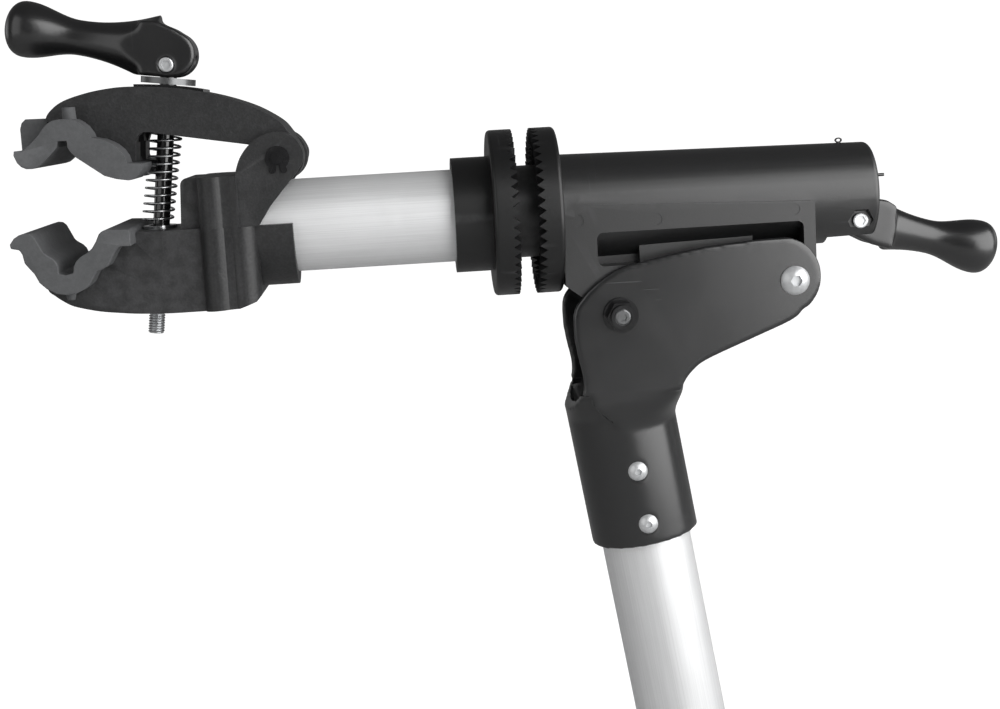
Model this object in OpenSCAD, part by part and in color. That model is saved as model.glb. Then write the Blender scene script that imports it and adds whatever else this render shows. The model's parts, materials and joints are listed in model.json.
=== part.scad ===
/* [Tubes] */
// Outside diameter of the arm tube and the mast tube
tube_d = 45; // [42:0.5:48]
// Wall of both tubes
tube_wall = 2; // [1.5:0.1:3]
// Length of arm tube that shows between the clamp and the clutch
arm_show = 76; // [60:1:120]
// Length of mast tube that shows below the yoke
mast_show = 126; // [60:1:300]
// Lean of the mast from upright
mast_lean = 8.6; // [4:0.1:10]

/* [Clutch] */
// Outside diameter of the toothed rings
ring_d = 81; // [76:1:96]
// Thickness of each ring behind its teeth
ring_t = 8.6; // [7:0.1:12]
// Number of teeth on each ring
teeth = 52; // [40:2:60]
// Height of the teeth
tooth_h = 3.6; // [2.5:0.1:4]
// Gap between the tooth tips with the clutch open
clutch_gap = 8.8; // [7:0.1:12]
// Length of the sleeve that holds the arm tube
hub_len = 18; // [16:1:30]
// Wall of that sleeve
hub_wall = 5.5; // [4:0.5:8]

/* [Housing] */
// Length of the barrel behind the rear ring
barrel_len = 155; // [150:1:180]
// Outside diameter of the barrel at its rear end
barrel_end_d = 48.6; // [48:0.2:50]
// Wall of the barrel
barrel_wall = 4; // [3:0.1:4.5]
// Height of the web's lowest edge below the arm's axis
web_drop = 57; // [56:0.5:64]
// Draw of the rear lever's eccentric pin
draw_throw = 10.9; // [10:0.1:11.5]

/* [Yoke] */
// Outside diameter of the yoke's sleeve
sleeve_d = 53.6; // [52:0.2:56]
// Length of the yoke's sleeve up to its flare
sleeve_len = 66; // [60:1:72]
// Thickness of the yoke's plates
plate_t = 3.5; // [3:0.1:4]
// Diameter of the pivot bolt and the stop bolt
bolt_d = 8; // [7:0.5:9]
// Diameter of the sleeve's screws
screw_d = 5; // [4:0.5:6]

/* [Clamp] */
// Width of the rubber pads
pad_w = 82; // [70:1:100]
// Width of the upper and lower jaw castings
jaw_w = 47.4; // [46:0.2:50]
// Diameter of the hinge pin
hinge_d = 6; // [5:0.5:9]
// Diameter of the clamp rod
rod_d = 8; // [7:0.5:9]
// Outside diameter of the clamp spring
spring_d = 15.6; // [14.5:0.1:17]
// Turns of the clamp spring
spring_turns = 15; // [8:1:20]
// Diameter of the spring's wire
spring_wire = 1.1; // [0.8:0.1:1.4]
// Diameter of the levers' knobs
knob_d = 26.8; // [24:0.2:30]

/* [Hidden] */
// All places below are in millimetres, with the arm's axis at height 0 and the front of the
// clutch sleeve at length 0. The whole model is then moved so that the mast's lower end is the origin.

$fn = 64;
// Running fit of a pin or journal, on the radius
fit = 0.05;
// Gap between pieces that move past each other
gap = 0.3;
// Overrun of cuts past a face
over = 1;
// Overrun of cuts that pass right through
through = 200;
// Steps of a smooth outline between two of its points
outline_steps = 4;
tube_r = tube_d / 2;
tube_in = tube_r - tube_wall;

// Clutch places along the arm
ring_r = ring_d / 2;
tooth_band = 7;
hub_lip = 1;
hub_root_x = hub_len + hub_lip + ring_t;
hub_tip_x = hub_root_x + tooth_h;
ring_tip_x = hub_tip_x + clutch_gap;
ring_root_x = ring_tip_x + tooth_h;
ring_back_x = ring_root_x + ring_t;
barrel_end_x = ring_back_x + barrel_len;
barrel_r = sleeve_d / 2;
barrel_end_r = barrel_end_d / 2;
journal_len = 80;
spigot_wall = 4;
hub_web = 3;
tube_seat_x = hub_len;
spigot_x = tube_seat_x + hub_web;

// Yoke places
stop_behind = 25.3;
stop = [ring_back_x + stop_behind, -50.5];
sleeve_behind = 11;
sleeve_foot = [stop[0] + sleeve_behind, -166];
pivot_ahead = 44.7;
sleeve_r = sleeve_d / 2;
mast_insert = 52;
web_w = sleeve_d - 2 * gap;
plate_in = web_w / 2 + gap;
plate_out = plate_in + plate_t;
pivot = [barrel_end_x - pivot_ahead, -39];
bolt_r = bolt_d / 2;
nut_af = 13;
nut_h = 8;
stop_washer_d = 17;
stop_washer_t = 1.6;
spacer_wall = 3;
spacer_r = bolt_r + spacer_wall;
head_d = 14;
head_h = 4.4;
hex_key = 5;
hex_depth = 2.6;
screw_head_d = 9.5;
screw_head_h = 2.75;
screw_places = [11, 38];
mast_foot = [sleeve_foot[0] + mast_show * sin(mast_lean), sleeve_foot[1] - mast_show * cos(mast_lean)];

// Clamp places
hinge = [-80.6, 33.8];
hinge_r = hinge_d / 2;
rod_r = rod_d / 2;
seam_z = 2.6;
jaw_half = jaw_w / 2;
ear_in = jaw_half + gap;
ear_t = 6;
ear_out = ear_in + ear_t;
nut_place = [-144.4, -22];
rod_lean = 7.5;
rod_tail = 26.7;
jaw_corner = [-187, 23.8];
jaw_high = 46.9;
saddle_t = 1.2;
saddle_play = 0.6;
cam_washer_d = 26;
cam_washer_t = 1.5;
cam_c = [2.3, 5.2];
cam_r = 10.9;
cam_base = cam_r - cam_c[1];
// Share of the jaw's height at which the rod passes its top
rod_share = 0.972;
washer_top = (jaw_corner[1] + rod_share * jaw_high + saddle_t + saddle_play - nut_place[1]) / cos(rod_lean)
    + 2 * cam_washer_t;
rod_len = washer_top + gap + cam_base;

// Moves the model so that the mast's lower end is the origin
module seated() translate([-mast_foot[0], 0, -mast_foot[1]]) children();

// Stands children on the mast's axis, with height 0 at the sleeve's lower end
module on_mast() translate([sleeve_foot[0], 0, sleeve_foot[1]]) rotate([0, -mast_lean, 0]) children();

// Stands children on the clamp rod's axis, with height 0 at the barrel nut
module on_rod() translate([nut_place[0], 0, nut_place[1]]) rotate([0, rod_lean, 0]) children();

// Turns a solid round the arm's axis
module on_arm(x = 0) translate([x, 0, 0]) rotate([0, 90, 0]) children();

// Places a side outline, drawn in length and height, across the given width
module side_plate(w) rotate([90, 0, 0]) linear_extrude(w, center = true) children();

// A cylinder across the model at a place seen from the side
module cross_pin(place, r, w) translate([place[0], 0, place[1]]) rotate([90, 0, 0])
    cylinder(r = r, h = w, center = true);

// A cylinder along the arm
module along(x, r, len) on_arm(x) cylinder(r = r, h = len);

// A tube along its own axis
module pipe(r, hole, len) difference() {
    cylinder(r = r, h = len);
    translate([0, 0, -over]) cylinder(r = hole, h = len + 2 * over);
}

// A tube across the model
module cross_pipe(place, r, hole, w) difference() {
    cross_pin(place, r, w);
    cross_pin(place, hole, w + 2 * over);
}

// A hexagonal prism given by its width across flats
module hex(af, h) cylinder(r = af / sqrt(3), h = h, $fn = 6);

// A button head with its socket, standing on height 0
module button_head(d, h, key, depth) difference() {
    rotate_extrude() intersection() {
        translate([0, h - d / 1.6]) circle(r = d / 1.6);
        square([d / 2, h]);
    }
    translate([0, 0, h - depth]) hex(key, depth + over);
}

// Point between b and c on a smooth curve through four corners
function bend(a, b, c, d, t) = b + t / 2 * (c - a) + t * t * (a - 2.5 * b + 2 * c - d / 2)
    + t * t * t * (1.5 * b - 1.5 * c + (d - a) / 2);

// Smooth curve through a list of corners
function smooth(p, n) = concat([for (i = [0 : len(p) - 2], k = [0 : n - 1])
    bend(p[max(i - 1, 0)], p[i], p[i + 1], p[min(i + 2, len(p) - 1)], k / n)], [p[len(p) - 1]]);

// Corners from a table of shares of a box
function placed(shares, corner, size) =
    [for (s = shares) [corner[0] + s[0] * size[0], corner[1] + s[1] * size[1]]];

// Arc of a circle
function arc(c, r, from, to, n) = [for (i = [0 : n]) let(a = from + (to - from) * i / n)
    [c[0] + r * cos(a), c[1] + r * sin(a)]];

// Mast
module mast_tube() color("silver") seated() on_mast() difference() {
    translate([0, 0, -mast_show]) pipe(tube_r, tube_in, mast_show + mast_insert);
    screw_holes();
}

// Holes for the sleeve's screws, on the near side
module screw_holes() for (z = screw_places) translate([0, 0, z]) rotate([90, 0, 0])
    cylinder(r = screw_d / 2 + fit, h = through);

screw_sunk = 0.5;
screw_key = 3;
screw_key_depth = 1.6;
screw_seat = sleeve_r - screw_sunk;
module sleeve_screws() color("gainsboro") seated() on_mast() for (z = screw_places)
    translate([0, 0, z]) rotate([90, 0, 0]) {
        translate([0, 0, screw_seat]) button_head(screw_head_d, screw_head_h, screw_key, screw_key_depth);
        translate([0, 0, tube_in + fit * 4]) cylinder(r = screw_d / 2, h = screw_seat - tube_in);
    }

// Yoke: a tube end that is slit front and rear and flattened into two plates
yoke_lead = 21.5;
yoke_tail = 12.5;
yoke_corner = [stop[0] - yoke_lead, -100];
yoke_size = [pivot[0] + yoke_tail - yoke_corner[0], 83];
yoke_top_shares = [[-0.011, 0.56], [0.0, 0.65], [0.06, 0.75], [0.125, 0.82], [0.19, 0.87], [0.27, 0.895],
                   [0.51, 0.955], [0.76, 0.985]];
yoke_low_shares = [[0.925, 0.56], [0.875, 0.5], [0.67, 0.385], [0.53, 0.305], [0.475, 0.255], [0.435, 0.19],
                   [0.41, 0.11], [0.4, 0.03], [0.42, -0.15]];
yoke_front_shares = [[-0.05, -0.15], [-0.045, 0], [-0.022, 0.042], [0.005, 0.108], [0.018, 0.18],
                     [0.016, 0.26], [0.002, 0.36], [-0.009, 0.46]];
yoke_end_c = pivot + [-6.5, 1.7];
yoke_end_r = 19.6;
module yoke_outline() polygon(concat(
    smooth(placed(yoke_front_shares, yoke_corner, yoke_size), outline_steps),
    smooth(placed(yoke_top_shares, yoke_corner, yoke_size), outline_steps),
    arc(yoke_end_c, yoke_end_r, 80, -48, 24),
    smooth(placed(yoke_low_shares, yoke_corner, yoke_size), outline_steps)));
flare_len = 12;
flare_top = 14;
flare_round = 3.2;
slab = 1;
plate_low = sleeve_foot[1] + sleeve_len + flare_len - slab;
// Side of a flattened tube: a box with well rounded corners
function flat_side(a, p) = sign(a) * pow(abs(a), 2 / p);
module flat_tube(hx, hy) polygon([for (i = [0 : 47]) let(a = (i + 0.5) * 7.5)
    [hx * flat_side(cos(a), flare_round), hy * flat_side(sin(a), flare_round)]]);
// Loft from the round sleeve to the flattened tube
module flare(r, hx, hy, top) on_mast() hull() {
    translate([0, 0, sleeve_len - slab]) cylinder(r = r - fit, h = slab, $fn = 48);
    translate([0, 0, sleeve_len + flare_len]) linear_extrude(top) flat_tube(hx, hy - fit);
}
module yoke() color("#232426") seated() difference() {
    union() {
        on_mast() cylinder(r = sleeve_r, h = sleeve_len);
        intersection() {
            flare(sleeve_r, sleeve_r, plate_out, flare_top);
            side_plate(through) yoke_outline();
        }
        side_plate(2 * plate_out) intersection() {
            yoke_outline();
            translate([0, plate_low]) square([through, through]);
        }
    }
    side_plate(2 * plate_in) translate([0, plate_low - slab]) square([through * 2, through]);
    flare(tube_r, tube_r, plate_in, through / 2);
    on_mast() {
        translate([0, 0, -over]) cylinder(r = tube_r + fit, h = sleeve_len + over);
        screw_holes();
        for (z = screw_places) translate([0, -screw_seat, z]) rotate([90, 0, 0])
            cylinder(r = screw_head_d / 2 + gap, h = sleeve_r);
    }
    cross_pin(pivot, bolt_r + fit, through);
    cross_pin(stop, bolt_r + fit, through);
}

bolt_proud = 1;
// Pivot bolt at the rear of the yoke, with its nut on the far side
module pivot_bolt() color("gainsboro") seated() translate([pivot[0], 0, pivot[1]]) rotate([90, 0, 0]) {
    translate([0, 0, plate_out]) button_head(head_d, head_h, hex_key, hex_depth);
    translate([0, 0, -plate_out - nut_h - bolt_proud])
        cylinder(r = bolt_r, h = 2 * plate_out + nut_h + bolt_proud);
}

// Lock nut: hexagon with a round collar
module lock_nut() difference() {
    union() {
        hex(nut_af, nut_h * 0.75);
        cylinder(r = nut_af * 0.44, h = nut_h);
    }
    translate([0, 0, -over]) cylinder(r = bolt_r + fit / 2, h = nut_h + 2 * over);
}
module pivot_nut() color("gainsboro") seated() translate([pivot[0], plate_out, pivot[1]])
    rotate([-90, 0, 0]) lock_nut();

// Stop bolt at the front of the yoke, with its nut on the near side
stop_face = plate_out + stop_washer_t;
bolt_head_h = 5.3;
module stop_bolt() color("#2b2b2d") seated() translate([stop[0], stop_face, stop[1]]) rotate([90, 0, 0]) {
    translate([0, 0, -bolt_head_h]) hex(nut_af, bolt_head_h);
    cylinder(r = bolt_r, h = 2 * stop_face + nut_h - bolt_proud);
}
module stop_nut() color("#202022") seated() translate([stop[0], -stop_face, stop[1]])
    rotate([90, 0, 0]) lock_nut();
module stop_washers() color("#1c1c1e") seated() for (s = [-1, 1])
    translate([0, s * (plate_out + stop_washer_t / 2), 0])
        cross_pipe(stop, stop_washer_d / 2, bolt_r + fit, stop_washer_t);
module stop_spacer() color("gray") seated() cross_pipe(stop, spacer_r, bolt_r + fit, 2 * plate_in - fit);

// Housing
web_rise = 5;
web_front_low = 35.5;
web_chin = [11.8, 44.5];
web_lip = [3, 4];
web_heel = 8;
web_tail = [6, 3];
web_back = [3, 5, 6];
web_corner = [1.5, 1];
// Round marks of the ejectors on the web's faces: places behind the ring and heights
ejector_r = 2.65;
ejector_depth = 0.3;
ejectors = [[7.4, -4.6], [45.1, -5.8], [112.1, -5]];
window_top = -10.8;
window_depth = 14;
window_low = -27;
rib_behind = 11.8;
rib_end_x = pivot[0] + rib_behind;
window_ends = [16, 5.8];
window_x = [ring_back_x + window_ends[0], rib_end_x - window_ends[1]];
web_top = -1.5;
window_round = 3;
ledge_ends = [21.3, 23.5];
ledge_x = [window_x[0] + ledge_ends[0], window_x[1] - ledge_ends[1]];
ledge_top = -15.5;
ledge_back = 8;
cam_hub_ahead = 9.2;
cam_hub = [barrel_end_x - cam_hub_ahead, -13];
rear_pin_r = 3;
rear_pin_len = 40;
pocket_from = 18.5;
slot_back = 15;
lever_slot = 26.4;
rear_bore = barrel_end_r - barrel_wall;
rear_bay = 35.2;
rear_bore_x = barrel_end_x - rear_bay;
barrel_round = 2.5;
bush_wall = 2;
bush_r = bolt_r + fit + bush_wall;
drawbar_r = 5;
notch_flare = 11;
pocket_af = 11;
module window_outline() translate([window_x[0] + window_round, window_low + window_round])
    round_box([window_x[1] - window_x[0] - 2 * window_round,
        window_top - window_low - 2 * window_round], window_round);
// Rectangle with round corners, with its first corner's centre at the origin
module round_box(size, r) union() {
    translate([-r, 0]) square([size[0] + 2 * r, size[1]]);
    translate([0, -r]) square([size[0], size[1] + 2 * r]);
    for (x = [0, size[0]], y = [0, size[1]]) translate([x, y]) circle(r = r);
}
module web_outline() difference() {
    polygon([[ring_back_x, web_top + web_rise], [ring_back_x, -web_front_low],
             [ring_back_x + web_chin[0], -web_chin[1]],
             [stop[0] - spacer_r - web_lip[0], -web_drop + web_lip[1]],
             [stop[0] + spacer_r + web_heel, -web_drop], [pivot[0] - web_tail[0], -web_drop + web_tail[1]],
             [rib_end_x - web_back[0], pivot[1] - web_back[1]], [rib_end_x, pivot[1] + web_back[2]],
             [rib_end_x, web_top - web_corner[1]], [rib_end_x - web_corner[0], web_top]]);
    translate(stop) {
        circle(r = spacer_r + gap);
        polygon([[-spacer_r - gap, 0], [spacer_r + gap, 0], [spacer_r + gap + notch_flare, -web_drop],
            [-spacer_r - gap, -web_drop]]);
    }
}
module head_housing() color("#2e2f31") seated() difference() {
    union() {
        on_arm(ring_back_x) rotate_extrude() polygon(concat([[0, 0], [barrel_r, 0]],
            arc([barrel_end_r - barrel_round, barrel_len - barrel_round], barrel_round, 0, 90, 6),
            [[0, barrel_len]]));
        difference() {
            side_plate(web_w) web_outline();
            for (s = [0, 1]) mirror([0, s, 0]) translate([0, web_w / 2, 0]) rotate([90, 0, 0])
                translate([0, 0, -over]) linear_extrude(window_depth + over) window_outline();
        }
        // ledge that stands in both windows
        translate([ledge_x[0], -web_w / 2 + ledge_back, window_low - over])
            cube([ledge_x[1] - ledge_x[0], web_w - 2 * ledge_back, ledge_top - window_low + over]);
    }
    along(ring_back_x - over, tube_r + fit, journal_len + over);
    along(ring_back_x, drawbar_r + gap, barrel_len);
    along(rear_bore_x, rear_bore, through);
    translate([cam_hub[0] - slot_back, -lever_slot / 2, -barrel_r - over]) cube([through, lever_slot, barrel_r]);
    cross_pin(cam_hub, rear_pin_r + fit, through);
    translate([cam_hub[0], 0, cam_hub[1]]) for (a = [90, -90]) rotate([a, 0, 0])
        translate([0, 0, pocket_from]) hex(pocket_af, barrel_r);
    cross_pin(pivot, bush_r + fit, through);
    translate([clip_x, 0, clip_from]) cylinder(r = clip_hole_r, h = barrel_end_r);
    for (s = [-1, 1], e = ejectors) translate([0, s * web_w / 2, 0])
        cross_pin([ring_back_x + e[0], e[1]], ejector_r, 2 * ejector_depth);
}
module pivot_bush() color("gray") seated() cross_pipe(pivot, bush_r, bolt_r + fit, web_w);
module rear_cam_pin() color("gainsboro") seated() cross_pin(cam_hub, rear_pin_r, rear_pin_len);

// Wire with a loop on the barrel's top, which runs inside and out at the rear face
clip_ahead = 14;
clip_x = barrel_end_x - clip_ahead;
clip_from = 14;
clip_hole_r = 1;
clip_r = 0.8;
clip_loop = 2.4;
clip_low = 7.5;
clip_len = 22.5;
module wire_clip() color("dimgray") seated() {
    translate([clip_x, 0, barrel_end_r + clip_loop + clip_r]) rotate([90, 0, 0])
        rotate_extrude() translate([clip_loop, 0]) circle(r = clip_r, $fn = 16);
    translate([clip_x, 0, clip_low]) cylinder(r = clip_r, h = barrel_end_r + clip_r - clip_low);
    translate([clip_x, 0, clip_low]) sphere(r = clip_r, $fn = 32);
    translate([0, 0, clip_low]) along(clip_x, clip_r, clip_len);
}

// V teeth that run outwards on the face of a ring, pointing along the ring's axis
module face_teeth(turn) for (i = [0 : teeth - 1]) rotate([0, 0, (i + turn) * 360 / teeth])
    translate([ring_r - tooth_band, 0, 0]) rotate([90, 0, 90])
        linear_extrude(tooth_band + over) polygon([[-tooth_pitch / 2, -over], [-tooth_pitch / 2, 0],
            [0, tooth_h], [tooth_pitch / 2, 0], [tooth_pitch / 2, -over]]);
tooth_pitch = PI * ring_d / teeth;

// Ring with teeth on its front face at height 0 and a rounded rim behind
rim_round = 2;
ring_recess = 3;
module toothed_ring(turn, hole, recess) {
    intersection() {
        face_teeth(turn);
        pipe(ring_r, ring_r - tooth_band, tooth_h);
    }
    rotate_extrude() difference() {
        union() {
            translate([hole, -ring_t]) square([ring_r - rim_round - hole, ring_t]);
            translate([hole, -ring_t + rim_round]) square([ring_r - hole, ring_t - rim_round]);
            translate([ring_r - rim_round, -ring_t + rim_round]) circle(r = rim_round);
        }
        translate([hole + recess, -ring_recess])
            square([ring_r - tooth_band - hole - recess, ring_recess + over]);
    }
}
module rear_ring() color("#2b2c2e") seated() on_arm(ring_root_x) mirror([0, 0, 1])
    toothed_ring(0, tube_r + fit, ring_recess);

module clutch_hub() color("#2b2c2e") seated() difference() {
    union() {
        on_arm(hub_root_x) toothed_ring(0.5, drawbar_r + gap, tube_r - drawbar_r + ring_recess);
        along(hub_lip, tube_r + hub_wall, hub_len + over);
    }
    along(0, tube_r, tube_seat_x);
    along(spigot_x, tube_r, through);
    along(0, drawbar_r + gap, through);
}
spigot_short = 2;
spigot_floor = 3;
module spigot() color("#27282a") seated() difference() {
    along(spigot_x, tube_r, ring_back_x + journal_len - spigot_x - clutch_gap - 2 * tooth_h - spigot_short);
    along(spigot_x + spigot_floor, tube_r - spigot_wall, through);
    along(0, drawbar_r + gap, through);
}
clamp_grip = 34;
module arm_tube() color("silver") seated() on_arm(-arm_show - clamp_grip) pipe(tube_r, tube_in,
    arm_show + clamp_grip + tube_seat_x);

// Drawbar with the slotted block that the rear lever's eccentric pin works in
draw_a = 32.5;
draw_pin_r = 3;
draw_at = [cam_hub[0] - draw_throw * sin(draw_a), cam_hub[1] + draw_throw * cos(draw_a)];
draw_top = cam_hub[1] + draw_throw;
draw_play = 0.35;
block_w = 10;
washer_t = 2;
bar_nut_h = 8;
bar_front_x = 4;
bar_nut_af = 17;
thrust_r = 17;
block_ahead = 8;
block_size = [16.8, 15];
block_low = 9.6;
module drawbar() color("gray") seated() difference() {
    union() {
        along(bar_front_x, drawbar_r, draw_at[0] - bar_front_x - block_ahead);
        translate([draw_at[0] - block_size[0] / 2, -block_w / 2, -block_low])
            cube([block_size[0], block_w, block_size[1]]);
    }
    translate([draw_at[0], 0, 0]) {
        translate([-draw_pin_r - draw_play, -block_w, draw_at[1]])
            cube([2 * (draw_pin_r + draw_play), 2 * block_w, draw_top - draw_at[1]]);
        cross_pin([0, draw_at[1]], draw_pin_r + draw_play, 2 * block_w);
        cross_pin([0, draw_top], draw_pin_r + draw_play, 2 * block_w);
    }
}
module drawbar_nut() color("gray") seated() on_arm(tube_seat_x - gap - washer_t - bar_nut_h) difference() {
    hex(bar_nut_af, bar_nut_h);
    translate([0, 0, -over]) cylinder(r = drawbar_r + fit / 2, h = bar_nut_h + 2 * over);
}
module thrust_washer() color("silver") seated() on_arm(tube_seat_x - gap - washer_t)
    pipe(thrust_r, drawbar_r + fit, washer_t);

// Handle of a lever, from its knob at length 0 to the flare that runs into its head
neck_r = 8.4;
neck_at = 25;
flare = 0.0062;
knob_len = 10;
least_r = 0.01;
function handle_r(s) = let(b = knob_d / 2, k = min(max(s / neck_at, 0), 1))
    s < 0 ? b * sqrt(max(0, 1 - pow(-s / knob_len, 2.4)))
          : s < neck_at ? neck_r + (b - neck_r) * (1 + cos(180 * k)) / 2
                        : neck_r + flare * pow(s - neck_at, 2);
module handle(len) rotate_extrude() polygon(concat([[0, -knob_len]],
    [for (i = [-8 : 26]) let(s = i < 0 ? knob_len * -sin(-i * 90 / 8) : i * len / 26)
        [max(least_r, handle_r(s)), s]], [[0, len]]));

// Clamp lever, drawn round its cam pin with the rod pointing down
cam_head_w = 22;
cam_eye_w = 9;
cam_pin_r = 3;
cam_knob = [-67.7, 11.8];
cam_slope = 4.7;
cam_reach = 62;
cam_heel_x = -12.8;
cam_ridge = [[2.9, 17.2], [-3.6, 19.3], [-8.9, 20.5], [-13.8, 19.6], [-16, 10]];
eye_r = 5.2;
module clamp_lever() color("#2a2b2d") seated() on_rod() translate([0, 0, rod_len]) difference() {
    union() {
        side_plate(cam_head_w) polygon(concat([[cam_heel_x, -cam_base]], arc(cam_c, cam_r, -90, 72, 24),
            cam_ridge));
        difference() {
            translate([cam_knob[0], 0, cam_knob[1]]) rotate([0, 90 + cam_slope, 0]) handle(cam_reach);
            for (s = [0, 1]) mirror([0, s, 0]) translate([cam_knob[0] + neck_at, cam_head_w / 2, -through / 2])
                cube([through, through, through]);
            translate([-through / 2, -through / 2, -cam_base - through]) cube([through, through, through]);
        }
    }
    translate([-eye_r - gap, -cam_eye_w / 2 - gap, -through])
        cube([through, cam_eye_w + 2 * gap, through + eye_r + gap]);
    cross_pin([0, 0], cam_pin_r + fit, through);
}
cam_pin_proud = 0.5;
rod_short = 2;
module clamp_cam_pin() color("gainsboro") seated() on_rod()
    cross_pin([0, rod_len], cam_pin_r, cam_head_w + 2 * cam_pin_proud);
module clamp_rod() color("gainsboro") seated() on_rod() difference() {
    union() {
        translate([0, 0, -rod_tail]) cylinder(r = rod_r, h = rod_tail + rod_len - rod_short);
        cross_pin([0, rod_len], eye_r, cam_eye_w);
    }
    cross_pin([0, rod_len], cam_pin_r + fit, through);
}
module cam_washers() color("silver") seated() on_rod() for (i = [1, 2])
    translate([0, 0, washer_top - i * cam_washer_t]) pipe(cam_washer_d / 2, rod_r + fit, cam_washer_t);

// Rear lever, with cheeks on both sides of the drawbar's block
rear_knob = cam_hub + [63.3, -18.2];
rear_slope = 15;
rear_head_w = 25;
rear_reach = 58;
cheek_r = 5.8;
cam_boss_r = 8;
rear_head = [[5, 10.5], [16, 8.5], [21, 5], [18, -16], [8, -13]];
rear_head_len = 14;
fork_len = 15;
module rear_lever() color("#2a2b2d") seated() difference() {
    union() {
        side_plate(rear_head_w) polygon(concat(arc(draw_at, cheek_r, 180, 60, 10),
            [for (p = rear_head) cam_hub + p], arc(cam_hub, cam_boss_r, -100, -180, 10)));
        difference() {
            translate([rear_knob[0], 0, rear_knob[1]]) rotate([0, -90 + rear_slope, 0]) handle(rear_reach);
            for (s = [0, 1]) mirror([0, s, 0])
                translate([rear_knob[0] - neck_at - through, rear_head_w / 2, -through / 2])
                    cube([through, through, through]);
            translate([cam_hub[0] + rear_head_len - through, -through / 2, -through / 2])
                cube([through, through, through]);
        }
    }
    translate([cam_hub[0] - through + fork_len, -block_w / 2 - gap * 1.5, -through / 2])
        cube([through, block_w + 3 * gap, through]);
    cross_pin(cam_hub, rear_pin_r + fit, through);
    cross_pin(draw_at, draw_pin_r, through);
}
module draw_pin() color("gainsboro") seated() cross_pin(draw_at, draw_pin_r, rear_head_w);

// Rubber pads: the contour against the casting, then the contour against the gripped tube
upper_pad_corner = [-200, 27.7];
upper_pad_size = [58.4, 29.7];
upper_seat_shares = [[0.01, 0.549], [0.079, 0.549], [0.154, 0.663], [0.207, 0.764], [0.259, 0.889],
                     [0.288, 0.943], [0.325, 0.98], [0.38, 1], [0.488, 0.987], [0.524, 0.943],
                     [0.567, 0.869], [0.604, 0.751], [0.613, 0.694], [0.69, 0.66], [0.735, 0.62],
                     [0.788, 0.559], [0.83, 0.481], [0.863, 0.38], [0.877, 0.269]];
upper_grip_shares = [[0.995, 0.249], [0.997, 0.192], [0.983, 0.131], [0.952, 0.057], [0.909, 0.01],
                     [0.878, 0.003], [0.786, 0.034], [0.695, 0.094], [0.608, 0.222], [0.491, 0.394],
                     [0.452, 0.478], [0.428, 0.562], [0.426, 0.663], [0.356, 0.667], [0.344, 0.572],
                     [0.308, 0.498], [0.259, 0.407], [0.216, 0.333], [0.18, 0.283], [0.14, 0.263],
                     [0.094, 0.266], [0.058, 0.3], [0.027, 0.367], [0.005, 0.481]];
lower_pad_corner = [-205.5, -23.5];
lower_pad_size = [56, 30];
lower_grip_shares = [[0.002, 0.833], [0.039, 0.923], [0.082, 0.97], [0.132, 0.993], [0.173, 0.983],
                     [0.204, 0.933], [0.243, 0.777], [0.266, 0.683], [0.293, 0.64], [0.336, 0.587],
                     [0.363, 0.53], [0.379, 0.457], [0.379, 0.343], [0.432, 0.31], [0.496, 0.337],
                     [0.504, 0.437], [0.527, 0.517], [0.568, 0.583], [0.62, 0.633], [0.666, 0.7],
                     [0.702, 0.8], [0.732, 0.913], [0.759, 0.957], [0.795, 0.977], [0.977, 0.96],
                     [0.988, 0.907]];
lower_seat_shares = [[0.988, 0.703], [0.891, 0.703], [0.855, 0.633], [0.812, 0.49], [0.78, 0.407],
                     [0.739, 0.37], [0.691, 0.337], [0.662, 0.263], [0.629, 0.15], [0.584, 0.08],
                     [0.509, 0.017], [0.427, 0.003], [0.345, 0.03], [0.268, 0.117], [0.214, 0.217],
                     [0.18, 0.357], [0.145, 0.44], [0.109, 0.53], [0.096, 0.67], [0.075, 0.74],
                     [0.007, 0.767]];
function upper_seat() = placed(upper_seat_shares, upper_pad_corner, upper_pad_size);
function lower_seat() = placed(lower_seat_shares, lower_pad_corner, lower_pad_size);
flange_w = 40;
flange_low = 42.5;
flange_high = 15.8;
flange_shares = [[0, 0], [0, 0.72], [0.07, 0.89], [0.22, 1], [1, 0.99], [1, 0]];
boss_r = 12;
jaw_size = [hinge[0] + boss_r - jaw_corner[0], jaw_high];
jaw_nose_x = jaw_corner[0];
nub_y = 33;
nub_at = [-174.4, 55];
nub_r = [3.4, 3];
nub_h = 7.6;
low_nub_at = [-181, -26.6];
low_nub_r = [1.8, 3];
low_nub_h = 6;
// Room for the clamp spring at the heel of the upper pad and in the jaw above it
well_x = [-152, -140];
well_half = 9.2;
module spring_well(top) translate([well_x[0], -well_half, 0])
    cube([well_x[1] - well_x[0], 2 * well_half, top]);
module upper_pad() color("#6a6b6d") seated() {
    difference() {
        side_plate(pad_w) polygon(concat(upper_seat(),
            placed(upper_grip_shares, upper_pad_corner, upper_pad_size)));
        spring_well(through);
    }
    side_plate(flange_w) polygon(placed(flange_shares, [upper_pad_corner[0], flange_low],
        [jaw_nose_x - 2 * fit - upper_pad_corner[0], flange_high]));
    for (s = [-1, 1]) translate([nub_at[0], s * nub_y, nub_at[1]])
        cylinder(r1 = nub_r[0], r2 = nub_r[1], h = nub_h, $fn = 32);
}
module lower_pad() color("#6a6b6d") seated() {
    side_plate(pad_w) polygon(concat(placed(lower_grip_shares, lower_pad_corner, lower_pad_size), lower_seat()));
    for (s = [-1, 1]) translate([low_nub_at[0], s * nub_y, low_nub_at[1]])
        cylinder(r1 = low_nub_r[0], r2 = low_nub_r[1], h = low_nub_h, $fn = 32);
}

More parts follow.
